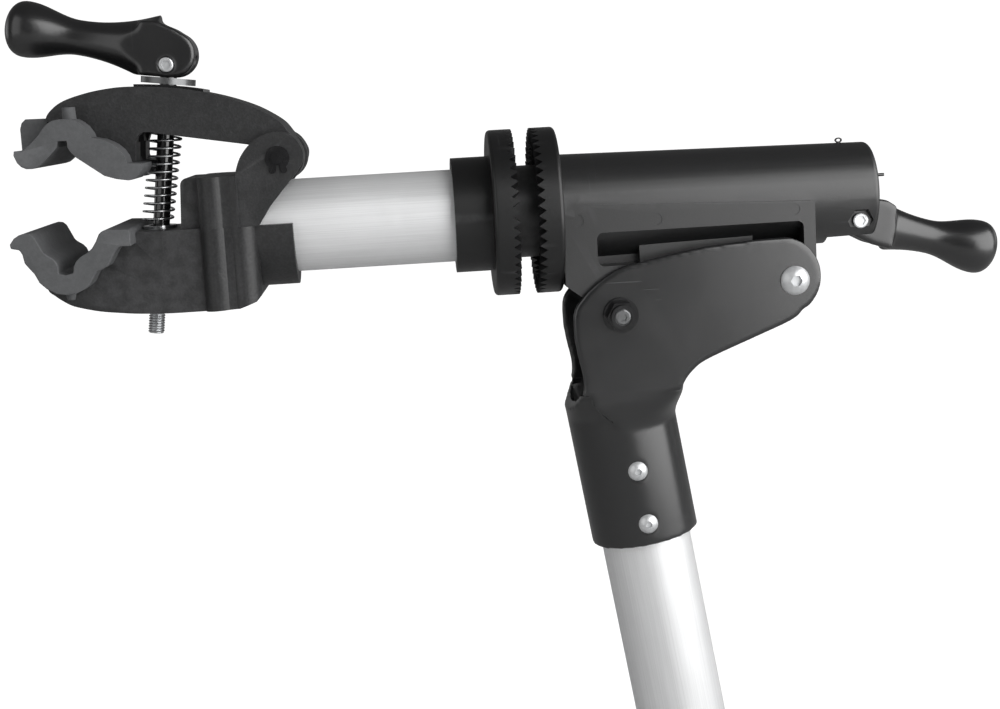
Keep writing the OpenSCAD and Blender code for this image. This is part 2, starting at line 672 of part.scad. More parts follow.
// Upper jaw: an arched hollow beam, open below round the rod
jaw_top_shares = [[0, 0.731], [0.005, 0.759], [0.02, 0.804], [0.053, 0.868], [0.102, 0.919],
                  [0.182, 0.968], [0.261, 0.994], [0.329, 1], [0.417, 0.987], [0.495, 0.966],
                  [0.573, 0.934], [0.65, 0.887], [0.729, 0.823], [0.807, 0.742], [0.87, 0.65],
                  [0.916, 0.563], [0.944, 0.469], [0.966, 0.388], [0.985, 0.281]];
jaw_under_shares = [[0.783, 0.36], [0.596, 0.446], [0.441, 0.516], [0.401, 0.539], [0.37, 0.542],
                    [0.352, 0.507], [0.343, 0.45]];
throat_x = -147.1;
jaw_skin = 6;
roof_z = 63.2;
jaw_wall = 6;
jaw_rib = 3;
slot_half = 5;
slot_x = [-139.5, -123];
function jaw_top() = smooth(placed(jaw_top_shares, jaw_corner, jaw_size), outline_steps);
module jaw_outline() polygon(concat(jaw_top(), [hinge],
    placed(jaw_under_shares, jaw_corner, jaw_size), [[throat_x, upper_seat()[len(upper_seat_shares) - 1][1]]],
    [for (i = [len(upper_seat_shares) - 1 : -1 : 4]) upper_seat()[i]]));
module rod_slot() translate([slot_x[0], -slot_half, 0]) cube([slot_x[1] - slot_x[0], 2 * slot_half, through]);
// Turned groove of the jaw's boss, which keeps it clear of the arm tube
groove_r = hinge[1] - tube_r - gap - 4 * fit;
groove_half = 10;
module upper_jaw() color("#343537") seated() difference() {
    union() {
        side_plate(jaw_w) jaw_outline();
        difference() {
            cross_pin(hinge, boss_r, jaw_w);
            cross_pipe(hinge, boss_r + over, groove_r, 2 * groove_half);
        }
    }
    difference() {
        side_plate(jaw_w - 2 * jaw_wall) intersection() {
            translate([0, -jaw_skin]) polygon(jaw_top());
            translate([throat_x, 0]) square([hinge[0] - boss_r - jaw_rib - throat_x, roof_z]);
        }
        translate([-through, -through, roof_z]) cube([2 * through, 2 * through, through]);
    }
    spring_well(roof_z);
    rod_slot();
    cross_pin(hinge, hinge_bush_r + fit, through);
}
hinge_bush_r = 5;
module hinge_bush() color("#8a8a80") seated() cross_pipe(hinge, hinge_bush_r, hinge_r + fit, jaw_w + gap);
saddle_x = [-146.5, -114.1];
saddle_w = 30;
module saddle_plate() color("#1f2022") seated() difference() {
    side_plate(saddle_w) intersection() {
        difference() {
            translate([0, saddle_t]) polygon(jaw_top());
            polygon(jaw_top());
        }
        translate([saddle_x[0], 0]) square([saddle_x[1] - saddle_x[0], through]);
    }
    rod_slot();
}

// Hinge pin with an external clip on each end
pin_proud = 3.2;
pin_half = ear_out + pin_proud;
pin_groove = 0.5;
clip_ring_r = 5.6;
clip_ear = [2.6, 5.6];
clip_ear_r = 1.5;
clip_slit = 2;
clip_t = 1;
clip_at = ear_out + gap;
module hinge_pin() color("#1d1d1f") seated() difference() {
    cross_pin(hinge, hinge_r, 2 * pin_half);
    for (s = [-1, 1]) translate([0, s * (clip_at + clip_t / 2), 0])
        cross_pipe(hinge, hinge_r + over, hinge_r - pin_groove, clip_t);
}
module hinge_clips() color("#1d1d1f") seated() for (s = [-1, 1])
    translate([hinge[0], s * (clip_at + clip_t / 2), hinge[1]]) rotate([90, 0, 0])
        linear_extrude(clip_t - fit, center = true) difference() {
            union() {
                circle(r = clip_ring_r);
                for (m = [-1, 1]) translate([m * clip_ear[0], -clip_ear[1]]) circle(r = clip_ear_r);
            }
            circle(r = hinge_r - pin_groove + fit);
            translate([-clip_slit / 2, -through]) square([clip_slit, through]);
        }

// Castings of the clamp's column
column_x = [-119.7, -93.2];
column_half = 25;
boss_col_r = 7.4;
boss_xs = [-112.3, -100.2];
boss_y = 24.6;
valley_depth = 1.3;
column_low = -36.7;
column_top = 26.6;
column_cut = [[10, 0.8], [2, 3.6], [-1, 7]];
collar_r = 28.4;
collar_end_x = -76;
tube_end_x = -arm_show - clamp_grip;
jaw_low_shares = [[0, 0.428], [0.013, 0.368], [0.043, 0.319], [0.073, 0.27], [0.132, 0.191],
                  [0.192, 0.144], [0.316, 0.082], [0.441, 0.046], [0.567, 0.019], [0.757, 0], [1, 0]];
lower_jaw_corner = [-193.4, -36.7];
lower_jaw_size = [74.4, 36.7];
low_jaw_more = 1;
rod_hole_x = [-6.4, 7.9];
rod_hole_play = 0.6;
cast_screw_r = screw_d / 2;
cast_head_r = 4.25;
cast_head_h = 5;
cast_screw_y = 26.4;
cast_screw_len = 44;
cast_key = 4;
cast_key_depth = 3;
screw_cover = 6;
head_sunk = 6;
module column_plan() {
    translate([column_x[0], -column_half]) square([column_x[1] - column_x[0], 2 * column_half]);
    for (x = boss_xs, s = [-1, 1]) translate([x, s * boss_y]) circle(r = boss_col_r);
    translate([boss_xs[0], -boss_y - boss_col_r + valley_depth])
        square([boss_xs[1] - boss_xs[0], 2 * (boss_y + boss_col_r - valley_depth)]);
}
module lower_jaw() color("#343537") seated() difference() {
    union() {
        side_plate(jaw_w + 2 * low_jaw_more) polygon(concat(
                smooth(placed(jaw_low_shares, lower_jaw_corner, lower_jaw_size), outline_steps),
                [[column_x[0] + over, seam_z], [lower_seat()[0][0] + gap, seam_z]],
                [for (i = [0 : 14]) lower_seat()[i]]));
        intersection() {
            translate([0, 0, column_low]) linear_extrude(seam_z - column_low) column_plan();
            side_plate(through) polygon([[column_x[0], seam_z], [column_x[0], column_low],
                [column_x[1] - column_cut[0][0], column_low + column_cut[0][1]],
                [column_x[1] - column_cut[1][0], column_low + column_cut[1][1]],
                [column_x[1] - column_cut[2][0], column_low + column_cut[2][1]],
                [column_x[1] - column_cut[2][0], seam_z]]);
        }
        intersection() {
            along(column_x[1] - over, collar_r, collar_end_x - column_x[1] + over);
            translate([-through, -through / 2, seam_z - through]) cube([through, through, through]);
        }
    }
    along(tube_end_x, tube_r, through);
    translate([0, through / 2 - jaw_half + jaw_skin / 3, 0]) cross_pin(nut_place, barrel_nut_r + fit, through);
    translate([nut_place[0] + rod_hole_x[0], -rod_r - rod_hole_play, -through / 2])
        cube([rod_hole_x[1] - rod_hole_x[0], 2 * (rod_r + rod_hole_play), through]);
    cast_screw_holes();
}
barrel_nut_r = 7;
module cast_screw_holes() for (x = boss_xs, s = [-1, 1]) translate([x, s * cast_screw_y, 0]) {
    translate([0, 0, column_low - over]) cylinder(r = cast_screw_r + fit, h = column_top - screw_cover - column_low);
    translate([0, 0, column_low - through + cast_head_h + head_sunk]) cylinder(r = cast_head_r + gap, h = through);
}
module casting_screws() color("#2a2a2c") seated() for (x = boss_xs, s = [-1, 1])
    translate([x, s * cast_screw_y, column_low + cast_head_h + head_sunk]) {
        cylinder(r = cast_screw_r, h = cast_screw_len);
        translate([0, 0, -cast_head_h]) difference() {
            cylinder(r = cast_head_r, h = cast_head_h);
            translate([0, 0, -over]) hex(cast_key, cast_key_depth + over);
        }
    }
module barrel_nut() color("gray") seated() difference() {
    cross_pin(nut_place, barrel_nut_r, jaw_w - 2 * jaw_skin);
    on_rod() translate([0, 0, -through / 2]) cylinder(r = rod_r + fit, h = through);
}

// Upper bracket: the column's top and the two hinge ears
ear_corner = [-101.6, seam_z];
ear_size = [33.1, 43.5];
ear_shares = [[0.299, 0], [0, 0], [0.006, 0.4], [0.015, 0.538], [0.042, 0.625], [0.097, 0.731],
              [0.19, 0.832], [0.302, 0.91], [0.414, 0.959], [0.544, 0.993], [0.671, 1], [0.773, 0.982],
              [0.876, 0.931], [0.955, 0.848], [1, 0.754], [0.976, 0.657], [0.882, 0.549], [0.695, 0.389],
              [0.48, 0.202]];
block_x = -129.2;
block_half = 20;
block_round = 3.5;
block_draft = 1.2;
bridge_back = 8;
bridge_len = 9;
module upper_bracket() color("#343537") seated() difference() {
    union() {
        translate([0, 0, seam_z]) linear_extrude(column_top - seam_z) intersection() {
            column_plan();
            translate([column_x[0], -through / 2]) square([ear_corner[0] - column_x[0] + over, through]);
        }
        side_plate(2 * block_half) polygon(concat([[block_x, seam_z]],
            arc([block_x + block_round + block_draft, column_top - block_round], block_round, 180, 90, 8),
            [[column_x[0] + over, column_top], [column_x[0] + over, seam_z]]));
        for (s = [0, 1]) mirror([0, s, 0]) translate([0, ear_out - ear_t / 2, 0]) side_plate(ear_t)
            intersection() {
                polygon(smooth(placed(ear_shares, ear_corner, ear_size), 3));
                translate([-through, seam_z]) square([through, through]);
            }
        translate([ear_corner[0] - bridge_back, -column_half, seam_z])
            cube([bridge_len, 2 * column_half, column_top - seam_z]);
    }
    along(tube_end_x, tube_r, through);
    cross_pin(hinge, hinge_r + fit, through);
    cast_screw_holes();
}

// Washer under the clamp spring
washer_d = 16.4;
washer_ahead = 2.8;
washer_play = 1.5;
spring_washer_t = 1.4;
module spring_washer() color("silver") seated() translate([nut_place[0] + washer_ahead, 0, seam_z])
    pipe(washer_d / 2, rod_r + washer_play, spring_washer_t);

// Clamp spring: one wire, wound by formula, with straight ends
spring_r = (spring_d - spring_wire) / 2;
spring_from = (seam_z + spring_washer_t - nut_place[1]) / cos(rod_lean) + 3 * fit;
spring_to = (roof_z - nut_place[1]) / cos(rod_lean) - gap - 4 * fit;
// Sideways places of the spring's two ends, since it hangs loosely round the rod
spring_set = [-1.9, 1.1];
coil_rings = 8;
coil_sides = 6;
spring_len = spring_to - spring_from;
coil_rise = spring_len - 2 * spring_wire;
coil_count = spring_turns * coil_rings;
function coil_point(i) = let(k = i / coil_count, a = 90 + 360 * spring_turns * k)
    [spring_set[0] * (1 - k) + spring_set[1] * k + spring_r * cos(a), spring_r * sin(a),
     spring_wire + coil_rise * k];
coil_path = concat([[coil_point(0)[0], coil_point(0)[1], 0]], [for (i = [0 : coil_count]) coil_point(i)],
    [[coil_point(coil_count)[0], coil_point(coil_count)[1], spring_len]]);
function unit(v) = v / norm(v);
function wire_ring(i) = let(n = len(coil_path) - 1, p = coil_path[i],
    ahead = i < n ? unit(coil_path[i + 1] - p) : [0, 0, 0],
    behind = i > 0 ? unit(p - coil_path[i - 1]) : [0, 0, 0],
    t = unit(ahead + behind), out = unit([p[0], p[1], 0]), side = unit(cross(t, out)))
    [for (k = [0 : coil_sides - 1]) let(a = 360 * k / coil_sides)
        p + spring_wire / 2 * (cos(a) * cross(side, t) + sin(a) * side)];
module clamp_spring() color("silver") seated() on_rod() translate([0, 0, spring_from]) {
    n = len(coil_path);
    m = coil_sides;
    polyhedron(points = [for (i = [0 : n - 1]) each wire_ring(i)],
        faces = concat([[for (k = [0 : m - 1]) k]],
            [for (i = [0 : n - 2], k = [0 : m - 1]) let(a = i * m + k, b = i * m + (k + 1) % m)
                each [[a, a + m, b], [b, a + m, b + m]]],
            [[for (k = [m - 1 : -1 : 0]) (n - 1) * m + k]]));
}
// Least gap between neighbouring turns of the spring, measured on its points
coil_gap = min([for (i = [0 : coil_count - coil_rings]) norm(coil_point(i + coil_rings) - coil_point(i))])
    - spring_wire;
echo(least_gap_of_clamp_spring = coil_gap);

mast_tube();
yoke();
sleeve_screws();
pivot_bolt();
pivot_nut();
stop_bolt();
stop_nut();
stop_washers();
stop_spacer();
head_housing();
rear_ring();
pivot_bush();
rear_cam_pin();
wire_clip();
drawbar();
drawbar_nut();
thrust_washer();
rear_lever();
draw_pin();
clutch_hub();
spigot();
arm_tube();
lower_jaw();
upper_bracket();
casting_screws();
lower_pad();
hinge_pin();
hinge_clips();
spring_washer();
barrel_nut();
clamp_spring();
clamp_rod();
clamp_cam_pin();
clamp_lever();
cam_washers();
hinge_bush();
upper_jaw();
upper_pad();
saddle_plate();
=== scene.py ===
"""Looks of the repair stand's clamp head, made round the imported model."""
import json
import math

import bmesh
import bpy
from bpy.props import FloatProperty, FloatVectorProperty, IntProperty, PointerProperty
from bpy.types import Operator, Panel, PropertyGroup
from mathutils import Matrix, Vector

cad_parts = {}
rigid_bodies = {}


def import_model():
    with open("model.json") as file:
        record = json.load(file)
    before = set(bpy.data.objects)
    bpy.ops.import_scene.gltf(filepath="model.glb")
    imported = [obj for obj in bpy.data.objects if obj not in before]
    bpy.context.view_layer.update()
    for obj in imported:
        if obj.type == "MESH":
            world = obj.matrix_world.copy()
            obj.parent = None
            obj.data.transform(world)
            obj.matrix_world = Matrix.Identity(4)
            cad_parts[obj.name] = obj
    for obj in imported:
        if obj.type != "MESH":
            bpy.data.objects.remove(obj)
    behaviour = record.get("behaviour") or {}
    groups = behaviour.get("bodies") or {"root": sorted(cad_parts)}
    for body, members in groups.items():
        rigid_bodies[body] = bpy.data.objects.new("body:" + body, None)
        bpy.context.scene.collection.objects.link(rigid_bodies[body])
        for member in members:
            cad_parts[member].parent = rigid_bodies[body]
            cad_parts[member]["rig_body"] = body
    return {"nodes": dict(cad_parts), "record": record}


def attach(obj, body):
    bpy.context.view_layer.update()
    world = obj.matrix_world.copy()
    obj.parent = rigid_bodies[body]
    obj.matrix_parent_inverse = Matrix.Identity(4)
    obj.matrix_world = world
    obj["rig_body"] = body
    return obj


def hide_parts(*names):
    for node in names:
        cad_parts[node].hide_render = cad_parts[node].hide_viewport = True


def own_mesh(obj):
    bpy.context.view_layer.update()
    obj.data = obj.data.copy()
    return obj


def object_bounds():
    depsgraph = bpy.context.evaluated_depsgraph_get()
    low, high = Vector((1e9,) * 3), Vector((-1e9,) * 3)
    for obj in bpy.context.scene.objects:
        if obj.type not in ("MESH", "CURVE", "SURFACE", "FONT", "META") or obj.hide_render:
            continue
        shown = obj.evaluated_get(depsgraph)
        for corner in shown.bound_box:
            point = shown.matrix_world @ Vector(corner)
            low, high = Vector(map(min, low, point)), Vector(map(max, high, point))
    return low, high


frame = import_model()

bl_info = {
    "name": "Repair stand looks",
    "version": (1, 0, 0),
    "blender": (4, 5, 0),
    "location": "View3D > Sidebar > Repair stand",
    "description": "Dresses the repair stand's clamp head, clutch, yoke and mast",
    "category": "Object",
}

CAD_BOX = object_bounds()
MM = 0.001

# Places and sizes are in millimetres. On the side view the arm's axis is at height 0, as in the source
MAST_FOOT = (107.3415, -290.5833)
BARREL_NUT = (-144.4, -22.0)
ROD_LEAN = math.radians(7.5)
MAST_LEAN = math.radians(8.6)
BARREL_TOP = 24.6
SLEEVE_FOOT = (88.5000, -166.0)
SLEEVE_RADIUS = 26.800
SLEEVE_LENGTH = 66.000
YOKE_HALF_DEPTH = 30.300
# The wall that widens from the yoke's sleeve to its plates, from the sleeve's foot
FLARE_FROM, FLARE_TO = SLEEVE_LENGTH - 9, SLEEVE_LENGTH + 15
FLARE_WALL, FLARE_REACH, FLARE_SUNK = 3.0, 4.6, 0.1
FLARE_ROWS, FLARE_COLUMNS, FLARE_SIDE, FLARE_EASE = 14, 60, 98, 1.25
FLARE_BOX = 7.0
# The clamp rod, along its axis from the barrel nut's middle
ROD_RADIUS, ROD_FOOT, THREAD_TOP, ROD_TOP = 4.0, -26.7, 24.0, 101.0
SHANK_FOOT, SHANK_BEVEL, AXIS_RADIUS = 23.0, 0.7, 0.001
# The spring round the rod: it starts aside of the axis and drifts back along its length
SPRING_MEAN, SPRING_FOOT, SPRING_TOP, SPRING_TURNS = 7.25, 26.37, 85.44, 15
SPRING_ASIDE, SPRING_DRIFT, SPRING_KEPT = -1.9, 3.0, 0.8
SPRING_SIDES, SPRING_STEPS = 10, 28
# Near ends of the cross pins: node, radius, width of the hexagon socket and finish
PIN_ENDS = (("clamp_cam_pin", 3.4, 3.8, "satin"), ("rear_cam_pin", 3.6, 4.2, "satin"),
            ("stop_bolt", 3.7, 3.4, "dull"))
SOCKET_FLOOR, PIN_FACE, PIN_EDGE, PIN_SUNK, PIN_FLAT = 0.05, 0.9, 0.6, -0.1, 0.85
# How far the wire clip's loop is pressed down and narrowed
LOOP_HEIGHT_KEPT, LOOP_WIDTH_KEPT = 0.4, 0.6
# Lamps: name, setting of their power, place from the stand's middle, width and height, in metres
LAMPS = (("key_lamp", "key", (1.06, -0.83, 0.2), 2.0, 2.2),
         ("fill_lamp", "fill", (-1.02, -0.88, 0.2), 1.2, 2.2))
LAMP_AIM = (0, -40)
# The floor: half its width, where it starts to curve up behind the stand, and the curve's radius
FLOOR_HALF, FLOOR_BEND, FLOOR_RISE, FLOOR_STEPS, FLOOR_GAP = 3.0, 1.2, 1.6, 12, 0.0002
FLOOR_WHITE = 0.88
ROOM_DARK = 0.10


def place(x, z, y=0.0):
    """Row-frame point in metres of a place given in millimetres from the arm's axis."""
    return Vector(((x - MAST_FOOT[0]) * MM, y * MM, (z - MAST_FOOT[1]) * MM))


ROD_SEAT = Matrix.Translation(place(*BARREL_NUT)) @ Matrix.Rotation(ROD_LEAN, 4, "Y")
MAST_SEAT = Matrix.Translation(place(*SLEEVE_FOOT)) @ Matrix.Rotation(-MAST_LEAN, 4, "Y")


# ---------------------------------------------------------------- settings

def colour(name, description, value):
    """A linear colour that the user can change."""
    return FloatVectorProperty(name=name, description=description, subtype="COLOR", size=3,
                               min=0, max=1, default=value)


def length(name, description, millimetres):
    """A length that the user can change, given here in millimetres and kept in metres."""
    return FloatProperty(name=name, description=description, unit="LENGTH", precision=5,
                         min=0, default=millimetres * MM)


class StandColours(PropertyGroup):
    """Colours of the stand's finishes"""
    casting: colour("Casting", "Grained metal of the jaws and the column", (0.0125, 0.0127, 0.0132))
    moulding: colour("Moulding", "Black plastic of the housing and the clutch", (0.0080, 0.0081, 0.0085))
    lever: colour("Lever", "Black plastic of the two levers", (0.007, 0.007, 0.0074))
    paint: colour("Paint", "Black paint of the yoke", (0.0065, 0.0067, 0.0071))
    rubber: colour("Rubber", "Grey rubber of the jaw pads", (0.095, 0.097, 0.100))
    tube: colour("Tube", "Satin aluminium of the arm and the mast", (0.92, 0.925, 0.93))
    bright: colour("Bright steel", "Bolts, screws and washers", (0.72, 0.73, 0.74))
    black_steel: colour("Black steel", "Pins, clips and lock nuts", (0.004, 0.004, 0.0045))


class StandSizes(PropertyGroup):
    """Sizes of edges, threads and wires"""
    casting_edge: length("Casting edge", "Width of the castings' rounded edges", 1.0)
    moulding_edge: length("Moulding edge", "Width of the mouldings' rounded edges", 0.7)
    tooth_edge: length("Tooth edge", "Width of the clutch teeth's rounded edges", 0.22)
    plate_voxel: length("Yoke grid", "Grid on which the yoke's forms are melted together", 0.9)
    plate_rounds: IntProperty(name="Yoke smoothing", description="Rounds of smoothing of the yoke",
                              min=0, default=5)
    pad_edge: length("Pad edge", "Width of the rubber pads' rounded edges", 0.8)
    lever_voxel: length("Lever grid", "Grid on which the levers' forms are melted together", 0.75)
    lever_rounds: IntProperty(name="Lever smoothing", description="Rounds of smoothing of the levers",
                              min=0, default=20)
    thread_pitch: length("Thread pitch", "Pitch of the clamp rod's thread", 1.25)
    thread_depth: length("Thread depth", "Depth of the clamp rod's thread", 0.62)
    spring_wire: length("Spring wire", "Diameter of the clamp spring's wire", 1.1)


class StandStage(PropertyGroup):
    """Camera, floor and light"""
    lens: FloatProperty(name="Lens", description="Focal length for a sensor 36 mm wide", min=1,
                        default=61.94)
    camera: FloatVectorProperty(name="Camera", description="Place of the camera", subtype="XYZ",
                                unit="LENGTH", size=3, precision=5, default=(-0.13195, -0.8455, 0.34648))
    turn: FloatVectorProperty(name="Turn", description="Yaw, pitch and roll of the camera in degrees",
                              size=3, default=(3.02, 8.48, 3.25))
    floor: colour("Floor", "Pale floor under the stand", (0.50, 0.50, 0.50))
    key: FloatProperty(name="Key lamp", description="Power of the lamp on the right", unit="POWER",
                       min=0, default=42.0)
    fill: FloatProperty(name="Fill lamp", description="Power of the lamp on the left", unit="POWER",
                        min=0, default=6.2)
    sky: FloatProperty(name="Soft light", description="Strength of the light from all round", min=0,
                       default=0.22)


# ---------------------------------------------------------------- shader groups

def new_group(name, inputs, outputs):
    """An empty shader group with its sockets: (name, kind, default) in, (name, kind) out."""
    tree = bpy.data.node_groups.new(name, "ShaderNodeTree")
    for label, kind, value in inputs:
        socket = tree.interface.new_socket(name=label, in_out="INPUT", socket_type="NodeSocket" + kind)
        socket.default_value = value
    for label, kind in outputs:
        tree.interface.new_socket(name=label, in_out="OUTPUT", socket_type="NodeSocket" + kind)
    return tree, tree.nodes.new("NodeGroupInput"), tree.nodes.new("NodeGroupOutput")


class Wiring:
    """Adds nodes to a tree and links them, so that an effect reads as one line for each step."""

    def __init__(self, tree):
        self.tree = tree

    def put(self, target, value):
        """Feeds a socket from another socket, or sets it."""
        if isinstance(value, bpy.types.NodeSocket):
            self.tree.links.new(value, target)
        else:
            target.default_value = value

    def node(self, kind, inputs=(), **settings):
        """A node with its settings, and its inputs by name or number."""
        made = self.tree.nodes.new("ShaderNode" + kind)
        for key, value in settings.items():
            setattr(made, key, value)
        for key, value in dict(inputs).items():
            self.put(made.inputs[key], value)
        return made

    def math(self, operation, a, b=0.0, clamp=False):
        """Result of a sum on two values."""
        return self.node("Math", {0: a, 1: b}, operation=operation, use_clamp=clamp).outputs[0]

    def noise(self, vector, scale, detail=2.0, rough=0.5, distortion=0.0):
        """Value of a cloud of the given scale."""
        return self.node("TexNoise", {"Vector": vector, "Scale": scale, "Detail": detail,
                                      "Roughness": rough, "Distortion": distortion}).outputs["Fac"]

    def between(self, value, low, high, out_low=0.0, out_high=1.0):
        """Value spread smoothly from one range to another."""
        return self.node("MapRange", {"Value": value, "From Min": low, "From Max": high,
                                      "To Min": out_low, "To Max": out_high},
                         interpolation_type="SMOOTHSTEP").outputs["Result"]

    def blend(self, share, a, b):
        """Colour between a and b."""
        made = self.node("Mix", data_type="RGBA")
        for key, value in ((0, share), (6, a), (7, b)):
            self.put(made.inputs[key], value)
        return made.outputs[2]

    def spread(self, vector, scale):
        """Vector scaled along each axis."""
        return self.node("Mapping", {"Vector": vector, "Scale": scale}).outputs["Vector"]


def grain_group():
    """Fine moulded or cast grain, with small pits."""
    tree, given, result = new_group("moulded_grain", [
        ("Vector", "Vector", (0, 0, 0)), ("Grain Scale", "Float", 900.0), ("Pit Scale", "Float", 260.0)],
        [("Shade", "Float"), ("Height", "Float")])
    w = Wiring(tree)
    fine = w.noise(given.outputs["Vector"], given.outputs["Grain Scale"], 3.0, 0.6)
    coarse = w.noise(given.outputs["Vector"], given.outputs["Pit Scale"], 2.0, 0.5)
    pits = w.between(coarse, 0.62, 0.74)
    shade = w.math("ADD", w.math("MULTIPLY", fine, 0.7), w.math("MULTIPLY", coarse, 0.3))
    w.put(result.inputs["Shade"], w.between(shade, 0.38, 0.66))
    w.put(result.inputs["Height"], w.math("SUBTRACT", fine, w.math("MULTIPLY", pits, 0.5)))
    return tree


def patches_group():
    """Broad uneven patches, as from handling and from the flow of a casting."""
    tree, given, result = new_group("handled_patches", [
        ("Vector", "Vector", (0, 0, 0)), ("Scale", "Float", 30.0), ("Warp", "Float", 0.6)],
        [("Mask", "Float"), ("Broad", "Float")])
    w = Wiring(tree)
    broad = w.noise(given.outputs["Vector"], given.outputs["Scale"], 4.0, 0.55, given.outputs["Warp"])
    w.put(result.inputs["Mask"], w.between(broad, 0.42, 0.66))
    w.put(result.inputs["Broad"], broad)
    return tree


def edges_group():
    """Edges made lighter where the mesh is pointed: rubbed wear and a painted highlight."""
    tree, given, result = new_group("rubbed_edges", [
        ("Vector", "Vector", (0, 0, 0)), ("From", "Float", 0.52), ("To", "Float", 0.60)],
        [("Mask", "Float")])
    w = Wiring(tree)
    sharp = w.node("NewGeometry").outputs["Pointiness"]
    spots = w.noise(given.outputs["Vector"], 160.0, 4.0, 0.6)
    edge = w.node("MapRange", {"Value": sharp, "From Min": given.outputs["From"],
                               "From Max": given.outputs["To"]}).outputs["Result"]
    w.put(result.inputs["Mask"], w.math("MULTIPLY", edge, w.between(spots, 0.35, 0.62, 0.35, 1.0), True))
    return tree


def scratches_group():
    """Sparse fine scratches in two directions."""
    tree, given, result = new_group("fine_scratches", [
        ("Vector", "Vector", (0, 0, 0)), ("Amount", "Float", 0.5)], [("Mask", "Float")])
    w = Wiring(tree)
    marks = []
    for turn, scale in (((0.3, 0.5, 0.2), (14.0, 14.0, 900.0)), ((-0.6, 0.2, 0.9), (900.0, 16.0, 14.0))):
        turned = w.node("Mapping", {"Vector": given.outputs["Vector"], "Rotation": turn,
                                    "Scale": scale}).outputs["Vector"]
        marks.append(w.between(w.noise(turned, 1.0, 1.0, 0.4), 0.71, 0.78))
    both = w.math("MAXIMUM", marks[0], marks[1])
    rare = w.between(w.noise(given.outputs["Vector"], 38.0, 2.0), 0.55, 0.70)
    w.put(result.inputs["Mask"], w.math("MULTIPLY", w.math("MULTIPLY", both, rare),
                                        given.outputs["Amount"], True))
    return tree


def drawn_group():
    """Fine lines along one direction, as on drawn or brushed metal."""
    tree, given, result = new_group("drawn_lines", [
        ("Vector", "Vector", (0, 0, 0)), ("Turn", "Vector", (0, 0, 0)),
        ("Stretch", "Vector", (12.0, 2600.0, 2600.0))], [("Shade", "Float"), ("Height", "Float")])
    w = Wiring(tree)
    turned = w.node("VectorRotate", {"Vector": given.outputs["Vector"], "Rotation": given.outputs["Turn"]},
                    rotation_type="EULER_XYZ").outputs["Vector"]
    stretched = w.node("VectorMath", {0: turned, 1: given.outputs["Stretch"]},
                       operation="MULTIPLY").outputs["Vector"]
    lines = w.noise(stretched, 1.0, 3.0, 0.65)
    w.put(result.inputs["Shade"], w.between(lines, 0.3, 0.7))
    w.put(result.inputs["Height"], lines)
    return tree


GROUP_MAKERS = {"grain": grain_group, "patches": patches_group, "edges": edges_group,
                "scratches": scratches_group, "drawn": drawn_group}
GROUPS = {}


def effect(w, name, **inputs):
    """One of the shared effects, placed in a material with its own values."""
    if name not in GROUPS:
        GROUPS[name] = GROUP_MAKERS[name]()
    made = w.node("Group", node_tree=GROUPS[name])
    for key, value in inputs.items():
        w.put(made.inputs[key.replace("_", " ")], value)
    return made.outputs


def rgba(value, gain=1.0):
    """A colour with full cover, made lighter or darker."""
    return tuple(min(1.0, c * gain) for c in value[:3]) + (1.0,)


def start_material(name):
    """A new material, its wiring, its shader and the object's own coordinates."""
    made = bpy.data.materials.new(name)
    made.use_nodes = True
    w = Wiring(made.node_tree)
    shader = made.node_tree.nodes["Principled BSDF"]
    return made, w, shader, w.node("TexCoord").outputs["Object"]


def black_finish(name, base, rough, grain=900.0, bump=0.25, edge_wear_and_highlight=0.35, wear_and_highlight_range=(0.53, 0.62), patch=0.1,
                 scratch=0.12, gloss=0.5, grainy=0.12):
    """Grained black casting, moulding or paint, with patches, fine scratches and edges lightened by rubbed
    wear and a painted highlight.
    """
    made, w, shader, where = start_material(name)
    grained = effect(w, "grain", Vector=where, Grain_Scale=grain, Pit_Scale=grain * 0.3)
    patches = effect(w, "patches", Vector=where)
    edges = effect(w, "edges", Vector=where, From=wear_and_highlight_range[0], To=wear_and_highlight_range[1])
    marks = effect(w, "scratches", Vector=where, Amount=scratch)
    body = w.blend(patches["Broad"], rgba(base, 1 - patch), rgba(base, 1 + patch))
    body = w.blend(w.math("MULTIPLY", grained["Shade"], grainy), body, rgba(base, 3.2))
    # Edges lightened towards pale grey: rubbed wear and a painted highlight.
    body = w.blend(w.math("MULTIPLY", edges["Mask"], edge_wear_and_highlight), body, rgba((0.30, 0.30, 0.31)))
    w.put(shader.inputs["Base Color"], w.blend(marks["Mask"], body, rgba((0.16, 0.16, 0.165))))
    w.put(shader.inputs["Roughness"], w.math("ADD", rough - 0.02, w.math(
        "MULTIPLY", patches["Mask"], 0.04)))
    shader.inputs["Specular IOR Level"].default_value = gloss
    bumps = w.node("Bump", {"Strength": bump, "Distance": 0.00012, "Height": grained["Height"]})
    w.put(shader.inputs["Normal"], bumps.outputs["Normal"])
    return made


def metal_finish(name, base, rough, turn=(0, 0, 0), stretch=(14.0, 2600.0, 2600.0), bump=0.08, stain=0.12,
                 metal=1.0):
    """Drawn or brushed bright metal with faint stains; a matt anodised skin is less than all metal."""
    made, w, shader, where = start_material(name)
    lines = effect(w, "drawn", Vector=where, Turn=turn, Stretch=stretch)
    patches = effect(w, "patches", Vector=where, Scale=55.0)
    marks = effect(w, "scratches", Vector=where, Amount=0.35)
    body = w.blend(lines["Shade"], rgba(base, 0.93), rgba(base, 1.04))
    body = w.blend(w.math("MULTIPLY", patches["Mask"], stain), body, rgba(base, 0.72))
    w.put(shader.inputs["Base Color"], w.blend(marks["Mask"], body, rgba(base, 1.15)))
    shader.inputs["Metallic"].default_value = metal
    w.put(shader.inputs["Roughness"], w.math("ADD", rough, w.math("MULTIPLY", w.math(
        "ADD", lines["Shade"], patches["Mask"]), 0.06)))
    bumps = w.node("Bump", {"Strength": bump, "Distance": 0.00005, "Height": lines["Height"]})
    w.put(shader.inputs["Normal"], bumps.outputs["Normal"])
    return made


